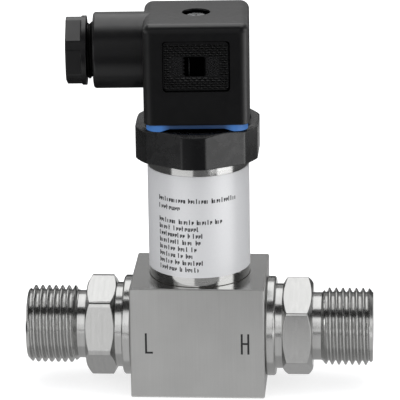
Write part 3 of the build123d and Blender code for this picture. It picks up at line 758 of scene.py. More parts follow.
# %% Ring nut
SHADE = 0.04              # thickness of the thin dark sheets of painted shade in deep places
NUT_LOW, NUT_HIGH = box_mm("ring_nut")
NUT_TURNED, NUT_FLAT, NUT_TILT, NUT_RIM_DROP = 17.25, 16.25, 30.0, 0.15
NUT_LIP, NUT_BORE, NUT_MOUTH = 1.7, 13.6, 11.7
NUT_DISH, NUT_DISH_DEPTH = 14.1, 0.7
NUT_SEAM = 2.0            # height in the bore where each column starts and ends
NUT_EDGE = 0.5            # half the crowd of columns at each corner, in degrees
SHADE_LIFT, SHADE_TURN = 0.02, 0.1
MOULD_RADIUS = 0.22


def ring_nut():
    """Hexagon nut with rounded corners, chamfered above and lipped inside."""
    angles = hexagon_angles(NUT_TILT, acos(NUT_FLAT / NUT_TURNED), radians(NUT_EDGE))
    top_rim = NUT_FLAT - NUT_RIM_DROP
    floor = NUT_HIGH.z - NUT_DISH_DEPTH
    columns = []
    for angle in angles:
        rim = hexagon_rim(angle, NUT_TILT, NUT_FLAT, NUT_TURNED)
        cut = (rim - top_rim) * CHAMFER_SLOPE
        profile = [
            (NUT_LOW.z + NUT_SEAM, NUT_BORE),
            (NUT_LOW.z, NUT_BORE),
            (NUT_LOW.z, rim),
            (NUT_HIGH.z - cut, rim),
            (NUT_HIGH.z, top_rim),
            (NUT_HIGH.z, NUT_DISH),
            (floor, NUT_DISH),
            (floor, NUT_MOUTH),
            (NUT_HIGH.z - NUT_LIP, NUT_MOUTH),
            (NUT_HIGH.z - NUT_LIP, NUT_BORE),
            (NUT_LOW.z + NUT_SEAM, NUT_BORE),
        ]
        columns.append(eased(profile, MOULD_RADIUS))
    nut = lathe(angles, columns)
    settle(nut, "ring_nut_moulded", ring_polyamide, "transmitter", ["ring_nut"])
    # A thin matt black sheet of painted shade on the floor of the dish
    top, rim = floor + SHADE_LIFT, NUT_DISH - SHADE_LIFT
    shade_profile = [(top - SHADE_TURN, rim), (top, rim), (top, NUT_MOUTH + SHADE_TURN)]
    shade_sheet = lathe(angles, [shade_profile] * len(angles))
    settle(shade_sheet, "nut_dish_painted_shade", shade_paint, "transmitter", thickness=SHADE)


ring_nut()


# %% [markdown]
# ## The gland nut
#
# The gland nut screws into the plug's barrel and squeezes the grommet on the cable. It
# stands out by a gap, and its thread shows there. Six flats are cut in a round head. The
# whole plug was clamped a few degrees off square with the block, so its pieces turn too.
#
# The gap is narrow and the thread lies in its shade, so the faces of the thread get a darker
# finish than the head. Both finishes sit in the slots of one closed mesh.

# %% Gland nut
GLAND_LOW, GLAND_HIGH = box_mm("gland_nut")
GLAND_HEIGHT = (GLAND_LOW.z + GLAND_HIGH.z) / 2
GLAND_END, GLAND_START = 34.4, 20.95
GLAND_TURNED, GLAND_FLAT, GLAND_TILT = 9.2, 8.5, -7.3
GLAND_HEX_LENGTH, GLAND_FLANGE = 4.0, 1.4
GLAND_NOSE, GLAND_NOSE_RADIUS = 2.0, 6.85
GLAND_CREST, GLAND_PITCH, GLAND_DEPTH, GLAND_ROUNDING = 7.6, 1.41, 0.6, 0.15
GLAND_BORE, GLAND_MOUTH = 5.0, 0.4
GLAND_EDGE, GLAND_END_ROUND = 0.12, 0.6
GLAND_STEP = 0.25         # the most that the flange's edge is bevelled beside a flat
GLAND_SPREAD = 0.6        # half the crowd of columns at each corner, in degrees
RUN_OUT = 0.5             # length of the thread's run-out beside its height


def gland_nut():
    """Gland nut with a helical shank thread, flange and milled flats."""
    hex_start = GLAND_END - GLAND_HEX_LENGTH
    flange_start = hex_start - GLAND_FLANGE
    nose_end = GLAND_START + GLAND_NOSE
    rise = GLAND_CREST - GLAND_NOSE_RADIUS
    outline = [
        (nose_end, GLAND_NOSE_RADIUS),
        (nose_end + rise, GLAND_CREST),
        (flange_start - RUN_OUT * rise, GLAND_CREST),
        (flange_start, GLAND_NOSE_RADIUS),
    ]
    angles = hexagon_angles(GLAND_TILT, acos(GLAND_FLAT / GLAND_TURNED), radians(GLAND_SPREAD))
    place = sideways(-1, GLAND_HEIGHT, PLUG_TURN)
    mesh = bmesh.new()
    tooth = thread_tooth(GLAND_PITCH, GLAND_DEPTH, GLAND_ROUNDING, flank=40.0, arc_steps=2)
    thread, shift = thread_columns(angles, 1, outline, GLAND_CREST, tooth, GLAND_PITCH)
    wrap(mesh, place, angles, thread, shift)
    for face in mesh.faces:
        face.material_index = 1
    columns = []
    for angle in angles:
        rim = hexagon_rim(angle, GLAND_TILT, GLAND_FLAT, GLAND_TURNED)
        step = max(rim, GLAND_TURNED - GLAND_STEP)
        head = [
            (flange_start, GLAND_NOSE_RADIUS),
            (flange_start, GLAND_TURNED),
            (hex_start - (GLAND_TURNED - step), GLAND_TURNED),
            (hex_start, step),
            (hex_start, rim),
            (GLAND_END - GLAND_END_ROUND, rim),
        ]
        tail = [
            (GLAND_END - GLAND_END_ROUND, rim),
            (GLAND_END, rim),
            (GLAND_END, rim - 2 * GLAND_END_ROUND),
        ]
        inside = [
            (GLAND_END, rim - 2 * GLAND_END_ROUND),
            (GLAND_END, GLAND_BORE + GLAND_MOUTH),
            (GLAND_END - GLAND_MOUTH, GLAND_BORE),
            (GLAND_START, GLAND_BORE),
            (GLAND_START, GLAND_NOSE_RADIUS),
            (nose_end, GLAND_NOSE_RADIUS),
        ]
        columns.append(
            eased(head, GLAND_EDGE)
            + eased(tail, GLAND_END_ROUND, steps=5)[1:]
            + eased(inside, GLAND_EDGE)[1:]
        )
    wrap(mesh, place, angles, columns)
    finishes = (plug_polyamide, thread_polyamide)
    settle(mesh, "gland_nut_threaded", finishes, "gland_nut", ["gland_nut"])


gland_nut()


# %% [markdown]
# ## The centre screw
#
# One M3 screw holds the plug down. Its pan head lies in the well on top, with a cross recess
# for the driver. The recess is cut by a boolean: the head minus a tapered cross. So the
# cutter comes first: three crosses, one above the other, joined by faces.

# %% Cutter for the cross recess
SCREW_LOW, SCREW_HIGH = box_mm("centre_screw")
CROSS_LENGTH, CROSS_WIDTH, CROSS_DEPTH, CROSS_TAPER = 3.5, 0.75, 1.15, 0.55
CROSS_OVER, CROSS_WIDER = 0.5, 1.1    # the cutter stands out above the head, a little wider


def cross_cutter():
    """A tapered cross that stands through the top of the screw's head."""
    mesh = bmesh.new()
    half_long, half_wide = CROSS_LENGTH / 2, CROSS_WIDTH / 2
    corners = []
    for quarter in range(4):
        turn = Matrix.Rotation(quarter * pi / 2, 3, "Z")
        for x, y in ((half_wide, half_wide), (half_wide, half_long), (-half_wide, half_long)):
            corners.append(turn @ Vector((x, y, 0)))
    rings = []
    for height, scale in ((CROSS_OVER, CROSS_WIDER), (0.0, 1.0), (-CROSS_DEPTH, CROSS_TAPER)):
        ring = [
            mesh.verts.new((c * scale + Vector((0, 0, SCREW_HIGH.z + height))) * MM)
            for c in corners
        ]
        rings.append(ring)
    for upper, lower in zip(rings, rings[1:]):
        for i in range(len(corners)):
            j = (i + 1) % len(corners)
            mesh.faces.new((upper[i], upper[j], lower[j], lower[i]))
    mesh.faces.new(rings[0])
    mesh.faces.new(rings[-1])
    bmesh.ops.recalc_face_normals(mesh, faces=mesh.faces)
    data = bpy.data.meshes.new("cross_cutter")
    mesh.to_mesh(data)
    mesh.free()
    cutter = bpy.data.objects.new("cross_cutter", data)
    bpy.context.scene.collection.objects.link(cutter)
    return cutter


# %% Centre screw
SCREW_CREST, SCREW_PITCH, SCREW_DEPTH, SCREW_ROUNDING = 1.5, 0.5, 0.3, 0.05
HEAD_RADIUS, HEAD_HEIGHT, HEAD_ROUND = 2.8, 2.0, 0.7
THREADED_LENGTH = 9.0
SCREW_LEAD, TIP_FALL = 0.4, 0.1
HEAD_EDGE, HEAD_CROWN = 0.08, 0.1
ROUND_ANGLES = [radians(7.5 * i) for i in range(48)]


def centre_screw():
    """Pan head screw with a helical thread at its lower end and a cross recess on top."""
    seat = SCREW_HIGH.z - HEAD_HEIGHT
    thread_top = SCREW_LOW.z + THREADED_LENGTH
    core = SCREW_CREST - SCREW_DEPTH
    tip = core - TIP_FALL
    outline = [
        (SCREW_LOW.z, tip),
        (SCREW_LOW.z + SCREW_LEAD, SCREW_CREST),
        (thread_top - SCREW_LEAD, SCREW_CREST),
        (thread_top, core),
    ]
    mesh = bmesh.new()
    tooth = thread_tooth(SCREW_PITCH, SCREW_DEPTH, SCREW_ROUNDING, flank=30.0, arc_steps=1)
    thread, shift = thread_columns(ROUND_ANGLES, 1, outline, SCREW_CREST, tooth, SCREW_PITCH)
    wrap(mesh, upright, ROUND_ANGLES, thread, shift)
    upper = [
        (thread_top, core),
        (seat, core),
        (seat, HEAD_RADIUS),
        (SCREW_HIGH.z - HEAD_ROUND, HEAD_RADIUS),
    ]
    dome = [
        (SCREW_HIGH.z - HEAD_ROUND, HEAD_RADIUS),
        (SCREW_HIGH.z, HEAD_RADIUS - HEAD_CROWN),
        (SCREW_HIGH.z, HEAD_RADIUS - 2 * HEAD_ROUND),
        (SCREW_HIGH.z, 0.0),
    ]
    column = eased(upper, HEAD_EDGE) + eased(dome, HEAD_ROUND, steps=5)[1:]
    foot = [(SCREW_LOW.z, tip), (SCREW_LOW.z, 0.0)]
    for round_column in (column, foot):
        wrap(mesh, upright, ROUND_ANGLES, [round_column] * len(ROUND_ANGLES))
    screw = settle(
        mesh, "centre_screw_threaded", zinc_plate, "centre_screw", ["centre_screw"]
    )
    cutter = cross_cutter()
    cut = screw.modifiers.new("cross recess", "BOOLEAN")
    cut.object = cutter
    cut.operation = "DIFFERENCE"
    screw.modifiers.move(1, 0)
    cut_mesh = bpy.data.meshes.new_from_object(
        screw.evaluated_get(bpy.context.evaluated_depsgraph_get())
    )
    screw.modifiers.clear()
    screw.data = cut_mesh
    bpy.data.objects.remove(cutter)
    print("screw faces after the cut:", len(cut_mesh.polygons))


centre_screw()


# %% [markdown]
# ## Shade in the screw well
#
# The head of the screw lies at the bottom of a narrow well, where hardly any light arrives.
# The satin wall would still catch some gloss there, so a thin matt black sheet of painted shade
# covers its lower part.

# %% Shade in the screw well
PLUG_HIGH = box_mm("plug_housing")[1]
WELL_RADIUS, WELL_RIM = 3.72, 0.45
LINING_OVER_SEAT = 0.1


def well_shade():
    """Painted shade on the lower wall of the well, from just under its rim to the seat of the
    screw.
    """
    foot = SCREW_HIGH.z - HEAD_HEIGHT + LINING_OVER_SEAT
    column = [(PLUG_HIGH.z - WELL_RIM, WELL_RADIUS), (foot, WELL_RADIUS)]
    shade_sheet = lathe(ROUND_ANGLES, [column] * len(ROUND_ANGLES))
    settle(shade_sheet, "well_shade", shade_paint, "plug", thickness=SHADE)


well_shade()


# %% [markdown]
# ## The grip pattern
#
# The plug is pulled off by finger and thumb, so each broad side has a shallow recess with
# rows of short raised dashes, each row set off by half a dash. They are real shapes: every
# dash is a small roof, and all of one side are one mesh. Beside the window in the front the
# dashes are finer, and rubbed a little paler. A thin dark strip along the foot of each dash
# stands for the shade there.

# %% Grip dashes
PLUG_HALF = 14.0
GRIP_WIDTH, GRIP_HEIGHT, GRIP_DEPTH, GRIP_DROP = 17.7, 13.7, 0.4, 11.15
GRIP_MIDDLE = PLUG_HIGH.z - GRIP_DROP
GRIP_FLOOR = PLUG_HALF - GRIP_DEPTH
GRIP_MARGIN = 0.45        # bare floor between the pattern and the edge of the recess
WINDOW_HALF = 2.65
DASH_LENGTH, DASH_GAP, DASH_ROW, DASH_RISE = 1.15, 0.3, 0.64, 0.33
SHORTEST_DASH, DASH_SUNK = 0.3, 0.02
COARSE_HALF, FINE_HALF = 0.42, 0.46         # half the width of a dash, as a share of its row
FINE_RISE = 0.8           # height of a fine dash beside that of a coarse one
PATCHES = ((-6.2, -3.75), (2.75, 5.9))      # finer dashes beside the window, left and right
FOOT_SHADE, FOOT_SHORTER, FOOT_PROUD = 0.13, 0.15, 0.01


def roof(mesh, out, low, high, z, half, rise):
    """One raised dash: a small roof with a level ridge."""
    foot = [(low, z - half), (high, z - half), (high, z + half), (low, z + half)]
    ridge = [(low + half, z), (high - half, z)]
    sunk, proud = out * (GRIP_FLOOR - DASH_SUNK), out * (GRIP_FLOOR + rise)
    base = [mesh.verts.new(Vector((x, sunk, h)) * MM) for x, h in foot]
    top = [mesh.verts.new(Vector((x, proud, h)) * MM) for x, h in ridge]
    mesh.faces.new((base[0], base[1], top[1], top[0]))
    mesh.faces.new((base[1], base[2], top[1]))
    mesh.faces.new((base[2], base[3], top[0], top[1]))
    mesh.faces.new((base[3], base[0], top[0]))
    mesh.faces.new(base)


def flat_shape(mesh, outline, out, away):
    """A flat polygon that faces the front or the back, given as x and height."""
    mesh.faces.new([mesh.verts.new(Vector((x, out * away, z)) * MM) for x, z in outline])


def settle_on_plug(mesh, name, material, thickness=0.0):
    """Turns a mesh with the plug, which was clamped a little off square, and settles it."""
    swing = Matrix.Rotation(radians(PLUG_TURN), 3, "Z")
    bmesh.ops.transform(mesh, matrix=swing.to_4x4(), verts=mesh.verts)
    settle(mesh, name, material, "plug", thickness=thickness)


def grip_dashes(name, front):
    """Rows of raised dashes on the recess floor of the front or the back."""
    out = -1 if front else 1
    coarse, rubbed, feet = bmesh.new(), bmesh.new(), bmesh.new()
    reach = GRIP_WIDTH / 2 - GRIP_MARGIN
    fields = [(-reach, reach, DASH_LENGTH, DASH_ROW)]
    if front:
        fields += [(left, right, DASH_LENGTH / 2, DASH_ROW / 2) for left, right in PATCHES]
    for left, right, length, spacing in fields:
        fine = spacing < DASH_ROW
        height = 2 * WINDOW_HALF if fine else GRIP_HEIGHT - 2 * GRIP_MARGIN
        half = spacing * (FINE_HALF if fine else COARSE_HALF)
        target, rise = (rubbed, DASH_RISE * FINE_RISE) if fine else (coarse, DASH_RISE)
        pitch = length + DASH_GAP * (0.5 if fine else 1.0)
        rows = int(height / spacing)
        for row in range(rows):
            z = GRIP_MIDDLE + (row - (rows - 1) / 2) * spacing
            start = left - (row % 2) * pitch / 2
            beside_window = front and not fine and abs(z - GRIP_MIDDLE) < WINDOW_HALF
            for place in range(int((right - left) / pitch) + 2):
                low = max(start + place * pitch, left)
                high = min(start + place * pitch + length, right)
                if high - low < SHORTEST_DASH:
                    continue
                if beside_window and high > PATCHES[0][0] and low < PATCHES[1][1]:
                    continue
                roof(target, out, low, high, z, half, rise)
                if not fine:
                    foot = [(low, z - half), (high - FOOT_SHORTER, z - half)]
                    foot += [(x, h + FOOT_SHADE) for x, h in reversed(foot)]
                    away = GRIP_FLOOR + rise * FOOT_SHADE / half + FOOT_PROUD
                    flat_shape(feet, foot, out, away)
    settle_on_plug(coarse, name, plug_polyamide)
    settle_on_plug(feet, name + "_feet", shade_paint, SHADE)
    if front:
        settle_on_plug(rubbed, "rubbed_dashes", rubbed_and_lit_polyamide)


grip_dashes("grip_dashes_front", True)
grip_dashes("grip_dashes_back", False)


# %% [markdown]
# ## Painted shade round the grip and in its window
#
# A dark band of painted shade runs round each recess, where its walls lie in shade. In the middle
# of the front recess a window opens into the dark, with saw teeth on its left side and a thin
# tongue inside, made paler as a painted highlight. Band and window are flat dark shapes of painted
# shade, a hair above the recess floor.

# %% Painted shade round the grip and in its window
DARK_PROUD = 0.012
RIM_SHADE_ROUND, RIM_SHADE_OFF, CORNER_STEPS = 1.0, 0.05, 4
RIM_SHADE_WIDTHS = (0.16, 0.34, 0.36, 0.2)     # left, right, below and above
WINDOW_LEFT, WINDOW_RIGHT = -2.95, 2.2
TEETH, TOOTH_RISE = 5, 0.6
TOOTH_TIP, TOOTH_END = 0.3, 0.75            # shares of a tooth, from its top down
TONGUE_AT, TONGUE_SHORTER, TONGUE_WIDTH, TONGUE_RISE = 1.05, 0.3, 0.15, 0.12


def rim_shade_frame(mesh, out, away):
    """A band of painted shade round the recess floor, with rounded corners, wider below and right.
    """
    half_width, half_height = GRIP_WIDTH / 2 - RIM_SHADE_OFF, GRIP_HEIGHT / 2 - RIM_SHADE_OFF
    rings = []
    for left, right, below, above in ((0.0, 0.0, 0.0, 0.0), RIM_SHADE_WIDTHS):
        x0, x1 = left - half_width, half_width - right
        z0, z1 = GRIP_MIDDLE - half_height + below, GRIP_MIDDLE + half_height - above
        ring = []
        for x, z, first in ((x1, z1, 0), (x0, z1, 90), (x0, z0, 180), (x1, z0, 270)):
            x += -RIM_SHADE_ROUND if first in (0, 270) else RIM_SHADE_ROUND
            z += -RIM_SHADE_ROUND if first in (0, 90) else RIM_SHADE_ROUND
            for k in range(CORNER_STEPS + 1):
                angle = radians(first + 90 / CORNER_STEPS * k)
                point = (x + RIM_SHADE_ROUND * cos(angle), out * away, z + RIM_SHADE_ROUND * sin(angle))
                ring.append(mesh.verts.new(Vector(point) * MM))
        rings.append(ring)
    outer, inner = rings
    for i in range(len(outer)):
        j = (i + 1) % len(outer)
        mesh.faces.new((outer[i], outer[j], inner[j], inner[i]))


def grip_painted_shade():
    """Painted shade round both recesses, and in the dark window with its saw teeth in the front
    one.
    """
    away = GRIP_FLOOR + DARK_PROUD
    mesh = bmesh.new()
    for out in (-1, 1):
        rim_shade_frame(mesh, out, away)
    low, high = GRIP_MIDDLE - WINDOW_HALF, GRIP_MIDDLE + WINDOW_HALF
    tooth = (high - low) / TEETH
    outline = [(WINDOW_RIGHT, low), (WINDOW_RIGHT, high)]
    for k in range(TEETH):
        top = high - k * tooth
        outline += [
            (WINDOW_LEFT, top),
            (WINDOW_LEFT - TOOTH_RISE, top - tooth * TOOTH_TIP),
            (WINDOW_LEFT, top - tooth * TOOTH_END),
        ]
    outline.append((WINDOW_LEFT, low))
    flat_shape(mesh, outline, -1, away)
    settle_on_plug(mesh, "grip_painted_shade", shade_paint, SHADE)


def window_tongue():
    """The narrow strip inside the window: a small step that catches the light, made paler as a
    painted highlight.
    """
    away = GRIP_FLOOR + DARK_PROUD
    edge = WINDOW_LEFT + TONGUE_AT
    reach = WINDOW_HALF - TONGUE_SHORTER
    step = ((edge, away), (edge + TONGUE_RISE, away + TONGUE_RISE), (edge + TONGUE_WIDTH, away))
    mesh = bmesh.new()
    low, high = (
        [mesh.verts.new(Vector((x, -y, GRIP_MIDDLE + z)) * MM) for x, y in step]
        for z in (-reach, reach)
    )
    for i in (0, 1):
        mesh.faces.new((low[i], low[i + 1], high[i + 1], high[i]))
    settle_on_plug(mesh, "window_tongue", rubbed_and_lit_polyamide, SHADE)


grip_painted_shade()
window_tongue()


# %% [markdown]
# ## The web of the gasket
#
# The gasket carries the plug on its four corners. Between them runs a low web that lies
# deep in the plug's shade, so a dark shape covers its foot on each of the four sides.

# %% Web of the gasket
GASKET_HALF, WEB_OUT, WEB_LIFT = 13.4, 0.06, 0.01
FOOT_HALF, TOP_HALF, WEB_HEIGHT = 9.6, 7.2, 0.75


def gasket_web_shade():
    """The same dark shape of painted shade on each side, a hair outside the gasket's face."""
    low = box_mm("profile_gasket")[0].z + WEB_LIFT
    outline = [(-FOOT_HALF, 0.0), (FOOT_HALF, 0.0), (TOP_HALF, WEB_HEIGHT), (-TOP_HALF, WEB_HEIGHT)]
    mesh = bmesh.new()
    for quarter in range(4):
        swing = Matrix.Rotation(radians(PLUG_TURN) + quarter * pi / 2, 3, "Z")
        corners = [swing @ Vector((x, -GASKET_HALF - WEB_OUT, low + z)) for x, z in outline]
        mesh.faces.new([mesh.verts.new(corner * MM) for corner in corners])
    settle(mesh, "gasket_web_shade", shade_paint, "transmitter", thickness=SHADE)


gasket_web_shade()


# %% [markdown]
# ## Marks on the block
#
# The ports are marked L for low and H for high pressure, burnt dark into the front face by a
# laser. Each letter is made of straight strokes, which stand 0.015 mm proud to be seen.

# %% Port letters
LETTER_HEIGHT, LETTER_STROKE = 5.8, 0.55
LETTER_LOW, LETTER_MIDDLE = 12.65, 0.52     # the middle bar's height, as a share of the letter
L_LEFT, H_LEFT, L_WIDTH, H_WIDTH = -14.0, 11.7, 2.1, 2.3
MARK_PROUD = 0.015


def slab(mesh, x0, z0, x1, z1):
    """A thin upright box in the front face, between two corners."""
    middle = Vector(((x0 + x1) / 2, BLOCK_LOW.y, (z0 + z1) / 2))
    size = Vector((x1 - x0, 2 * MARK_PROUD, z1 - z0))
    for vert in bmesh.ops.create_cube(mesh, size=1.0)["verts"]:
        vert.co = (middle + vert.co * size) * MM


def port_letters():
    """Both letters as one mesh."""
    top = LETTER_LOW + LETTER_HEIGHT
    bar_low = LETTER_LOW + LETTER_HEIGHT * LETTER_MIDDLE - LETTER_STROKE / 2
    l_inner, h_inner = L_LEFT + LETTER_STROKE, H_LEFT + LETTER_STROKE
    h_second = H_LEFT + H_WIDTH - LETTER_STROKE
    mesh = bmesh.new()
    for left in (L_LEFT, H_LEFT, h_second):
        slab(mesh, left, LETTER_LOW, left + LETTER_STROKE, top)
    slab(mesh, l_inner, LETTER_LOW, L_LEFT + L_WIDTH, LETTER_LOW + LETTER_STROKE)
    slab(mesh, h_inner, bar_low, h_second, bar_low + LETTER_STROKE)
    settle(mesh, "port_letters", laser_mark, "transmitter")


port_letters()


# %% [markdown]
# ## Print on the label
#
# The label carries ten lines of small print. Here it is a printer's dummy: words of small
# upright strokes and cross ticks that mean nothing, set line by line with the real spacing.
# Each stroke is a strip bent to the tube's curve, a hundredth of a millimetre above the film.

# %% Lines of dummy print
LABEL_HIGH = box_mm("label")[1]
FILM_RADIUS = 13.65
INK_RAISE = 0.01
PRINT_START = -11.0       # along the curve from the front's middle
SMALL_HEIGHT, TALL_HEIGHT = 0.95, 1.34
STROKE = 0.27
STRIP_STEP = 0.4          # longest flat piece of a strip
LETTER_GAP = 0.16
TICK_HEIGHTS = (0.0, 0.34, SMALL_HEIGHT - STROKE)
SHORT_FOOT = 0.3
WORD_GAP = 0.9            # in widths of a letter
PRINT_LINES = (
    # height of the line's foot below the label's top edge, its length, and letters per word
    (7.4, 23.1, (12, 8, 11)),
    (9.6, 6.9, (8,)),
    (13.3, 18.4, (8, 6, 6, 3)),
    (15.2, 12.1, (5, 9)),
    (17.1, 13.2, (11, 1, 4)),
    (19.0, 12.4, (9, 4, 2)),
    (20.9, 11.3, (7, 4, 2)),
    (22.8, 10.5, (7, 2, 3)),
    (24.7, 13.2, (6, 2, 8)),
    (26.6, 12.1, (7, 1, 5)),
)


def curved_strip(mesh, start, length, low, high):
    """A strip of ink on the film, between two places along the curve and two heights."""
    radius = FILM_RADIUS + INK_RAISE
    steps = max(1, round(length / STRIP_STEP))
    pairs = []
    for i in range(steps + 1):
        angle = (start + length * i / steps) / FILM_RADIUS
        x, y = radius * sin(angle), -radius * cos(angle)
        pairs.append([mesh.verts.new(Vector((x, y, z)) * MM) for z in (low, high)])
    for (a, b), (c, d) in zip(pairs, pairs[1:]):
        mesh.faces.new((a, c, d, b))


def dummy_print():
    """Every stroke of the print as one mesh. The counter picks each mark's shape."""
    mesh = bmesh.new()
    marks = 0
    for drop, length, words in PRINT_LINES:
        foot = LABEL_HIGH.z - drop
        letter = length / (sum(words) + WORD_GAP * (len(words) - 1))
        place = PRINT_START
        for count in words:
            for number in range(count):
                pick = (marks * 7 + marks // 3 + number * number) % 11
                tall = number == 0 or pick in (2, 5, 9)
                top = foot + (TALL_HEIGHT if tall else SMALL_HEIGHT)
                curved_strip(mesh, place, STROKE, foot, top)
                wide = letter - STROKE - LETTER_GAP
                if pick not in (2, 7):
                    tick = foot + TICK_HEIGHTS[pick % 3]
                    curved_strip(mesh, place + STROKE, wide - STROKE, tick, tick + STROKE)
                if pick in (0, 3, 4, 6, 8, 10):
                    low = foot if pick % 2 else foot + SHORT_FOOT
                    curved_strip(mesh, place + wide, STROKE, low, foot + SMALL_HEIGHT)
                place += letter
                marks += 1
            place += WORD_GAP * letter
    print("marks of print:", marks)
    return mesh


settle(dummy_print(), "label_print", print_ink, "transmitter")


# %% [markdown]
# ## Weld at the tube's foot
#
# The tube is welded to the block all round by a laser, which leaves a very small fillet with
# fine ripples where the pool froze step by step. Its dark colour is painted shade, so it reads as a
# thin dark line at the tube's foot.

# %% Weld bead
BEAD_RADIUS, BEAD_RIPPLE = 0.13, 0.02
BEAD_SUNK, BEAD_IN_WALL = 0.02, 0.1
RIPPLES, RIPPLE_STEPS = 120, 4
BEAD_CREASE = 60.0


def tube_weld():
    """A rippled fillet between the tube and the block's top."""
    foot, wall = TUBE_LOW.z, TUBE_HIGH.x
    count = RIPPLES * RIPPLE_STEPS
    angles = [2 * pi * i / count for i in range(count)]
    arc = [radians(a) for a in (0, 22.5, 45, 67.5, 90)]
    inner = (foot - BEAD_SUNK, wall - BEAD_IN_WALL)
    columns = []
    for i in range(count):
        size = BEAD_RADIUS + BEAD_RIPPLE * cos(2 * pi * i / RIPPLE_STEPS)
        outer = [(foot + size * sin(a), wall + size * cos(a)) for a in arc]
        below, above = (foot - BEAD_SUNK, wall + size), (foot + size, wall - BEAD_IN_WALL)
        columns.append([inner, below] + outer + [above, inner])
    bead = lathe(angles, columns)
    settle(bead, "tube_weld", weld_shade, "transmitter", crease=BEAD_CREASE)


tube_weld()


# %% [markdown]
# ## Floor
#
# The object stands on a pale floor in a light tent, white all round. The floor takes a soft
# shadow. Its glow is worked out from the kind of ray, so that it looks white to the lens and
# in gloss without lighting the object from below.

# %% Floor
FLOOR_SIZE = 8.0
FLOOR_COLOUR = "#B4B4B4"
FLOOR_FILL = 0.70


def seen_directly(owner):
    """1 for rays from the lens, in gloss or through glass, and 0 for scattered light."""
    kinds = ("Is Camera Ray", "Is Glossy Ray", "Is Transmission Ray")
    lens, gloss, glass = (add(owner, "LightPath", output=kind) for kind in kinds)
    either = add(owner, "Math", {0: lens, 1: gloss}, operation="MAXIMUM")
    return add(owner, "Math", {0: either, 1: glass}, operation="MAXIMUM")


def panel(name, corners, material):
    """A flat piece of staging with one finish."""
    data = bpy.data.meshes.new(name)
    data.from_pydata(corners, [], [tuple(range(len(corners)))])
    data.materials.append(material)
    sheet = bpy.data.objects.new(name, data)
    bpy.context.scene.collection.objects.link(sheet)
    return sheet


def studio_floor():
    """A pale floor that keeps a soft shadow and looks white to the lens and in gloss."""
    material = new_material("studio_floor")
    paper = add(material, "BsdfDiffuse", {"Color": linear(FLOOR_COLOUR)})
    seen = seen_directly(material)
    strength = add(material, "Math", {0: seen, 1: FLOOR_FILL}, operation="MULTIPLY")
    glow = add(material, "Emission", {"Strength": strength})
    both = add(material, "AddShader", {0: paper, 1: glow})
    add(material, "OutputMaterial", {"Surface": both})
    half = FLOOR_SIZE / 2
    corners = [(-half, -half, 0), (half, -half, 0), (half, half, 0), (-half, half, 0)]
    panel("floor", corners, material)


studio_floor()
print("floor in metres:", FLOOR_SIZE)


# %% [markdown]
# ## Softbox
#
# One wide softbox hangs above and reaches from just in front of the object to far behind it.
# Its glow is given as the brightness of its cloth, and the power follows from that and its
# area, so its size can change and its look in the metal stays.

# %% Softbox
SOFTBOX_HEIGHT = 1.05
SOFTBOX_FRONT, SOFTBOX_BACK, SOFTBOX_WIDTH = -0.19, 1.33, 1.1
SOFTBOX_GLOW = 1.45       # brightness of its cloth, where 1 is white


def softbox():
    """A soft rectangular lamp that points straight down."""
    depth = SOFTBOX_BACK - SOFTBOX_FRONT
    light = bpy.data.lights.new("softbox", "AREA")
    light.shape = "RECTANGLE"
    light.size, light.size_y = SOFTBOX_WIDTH, depth
    light.energy = SOFTBOX_GLOW * pi * SOFTBOX_WIDTH * depth
    lamp = bpy.data.objects.new("softbox", light)
    bpy.context.scene.collection.objects.link(lamp)
    lamp.location = (0.0, (SOFTBOX_FRONT + SOFTBOX_BACK) / 2, SOFTBOX_HEIGHT)
    lamp.visible_camera = False
    print("softbox in watts:", round(light.energy, 2))


softbox()


# %% [markdown]
# ## Cards that only gloss sees
#
# Bright metal shows its whole room, so cards are set up that only the metal sees: black
# flags round the softbox, a bright wall and grey cards behind, a dark screen and a bright
# window in front, and dark and bright sectors on the floor. They answer to glossy rays only,
# light nothing, and are no part of the object. Their lengths are in metres.

# %% Cards that only gloss sees
CARD_LIFT = 0.0004        # each layer on the floor lies this much above the one below
ROOM_BACK = 1.36
FLAG_GAP = 0.01           # the flags pass the softbox this much below or above it
BACK_CARD_AT, BACK_CARD_HALF = 0.24, 0.6
SCREEN_LOW, SCREEN_HIGH = 0.22, 0.95
SECTOR_STEPS = 12


def card(name, corners, grey):
    """A flat card of one grey that shows in reflections only."""
    material = new_material(name)
    cloth = add(material, "Emission", {"Color": (grey, grey, grey, 1), "Strength": 1.0})
    add(material, "OutputMaterial", {"Surface": cloth})
    sheet = panel(name, corners, material)
    sheet.visible_camera = False
    sheet.visible_diffuse = False
    sheet.visible_shadow = False
    sheet.visible_transmission = False


def straight_card(name, x0, x1, first, last, grey):
    """A rectangle from x0 to x1 between two edges, each given as its y and its height."""
    card(name, [(x0, *first), (x1, *first), (x1, *last), (x0, *last)], grey)


def around(distance, angles):
    """Places at one distance from the axis, by angles in degrees from the front to the right."""
    return [(distance * sin(radians(a)), -distance * cos(radians(a))) for a in angles]


def bent_screen(name, distance, angles, grey):
    """An upright card bent round the object."""
    stand = around(distance, angles)
    foot = [(x, y, SCREEN_LOW) for x, y in stand]
    head = [(x, y, SCREEN_HIGH) for x, y in reversed(stand)]
    card(name, foot + head, grey)


def floor_sector(name, first, last, near, far, grey):
    """A ring sector on the floor between two angles and two distances."""
    angles = [first + (last - first) * i / SECTOR_STEPS for i in range(SECTOR_STEPS + 1)]
    edge = around(near, angles) + around(far, reversed(angles))
    card(name, [(x, y, 2 * CARD_LIFT) for x, y in edge], grey)


below_box, above_box = SOFTBOX_HEIGHT - FLAG_GAP, SOFTBOX_HEIGHT + FLAG_GAP
half_box = SOFTBOX_WIDTH / 2
straight_card("front_flag", -1.6, 1.6, (-0.86, below_box), (SOFTBOX_FRONT, below_box), 0.02)
straight_card(
    "softbox_backing", -half_box, half_box,
    (SOFTBOX_FRONT, above_box), (ROOM_BACK, above_box), 0.0,
)
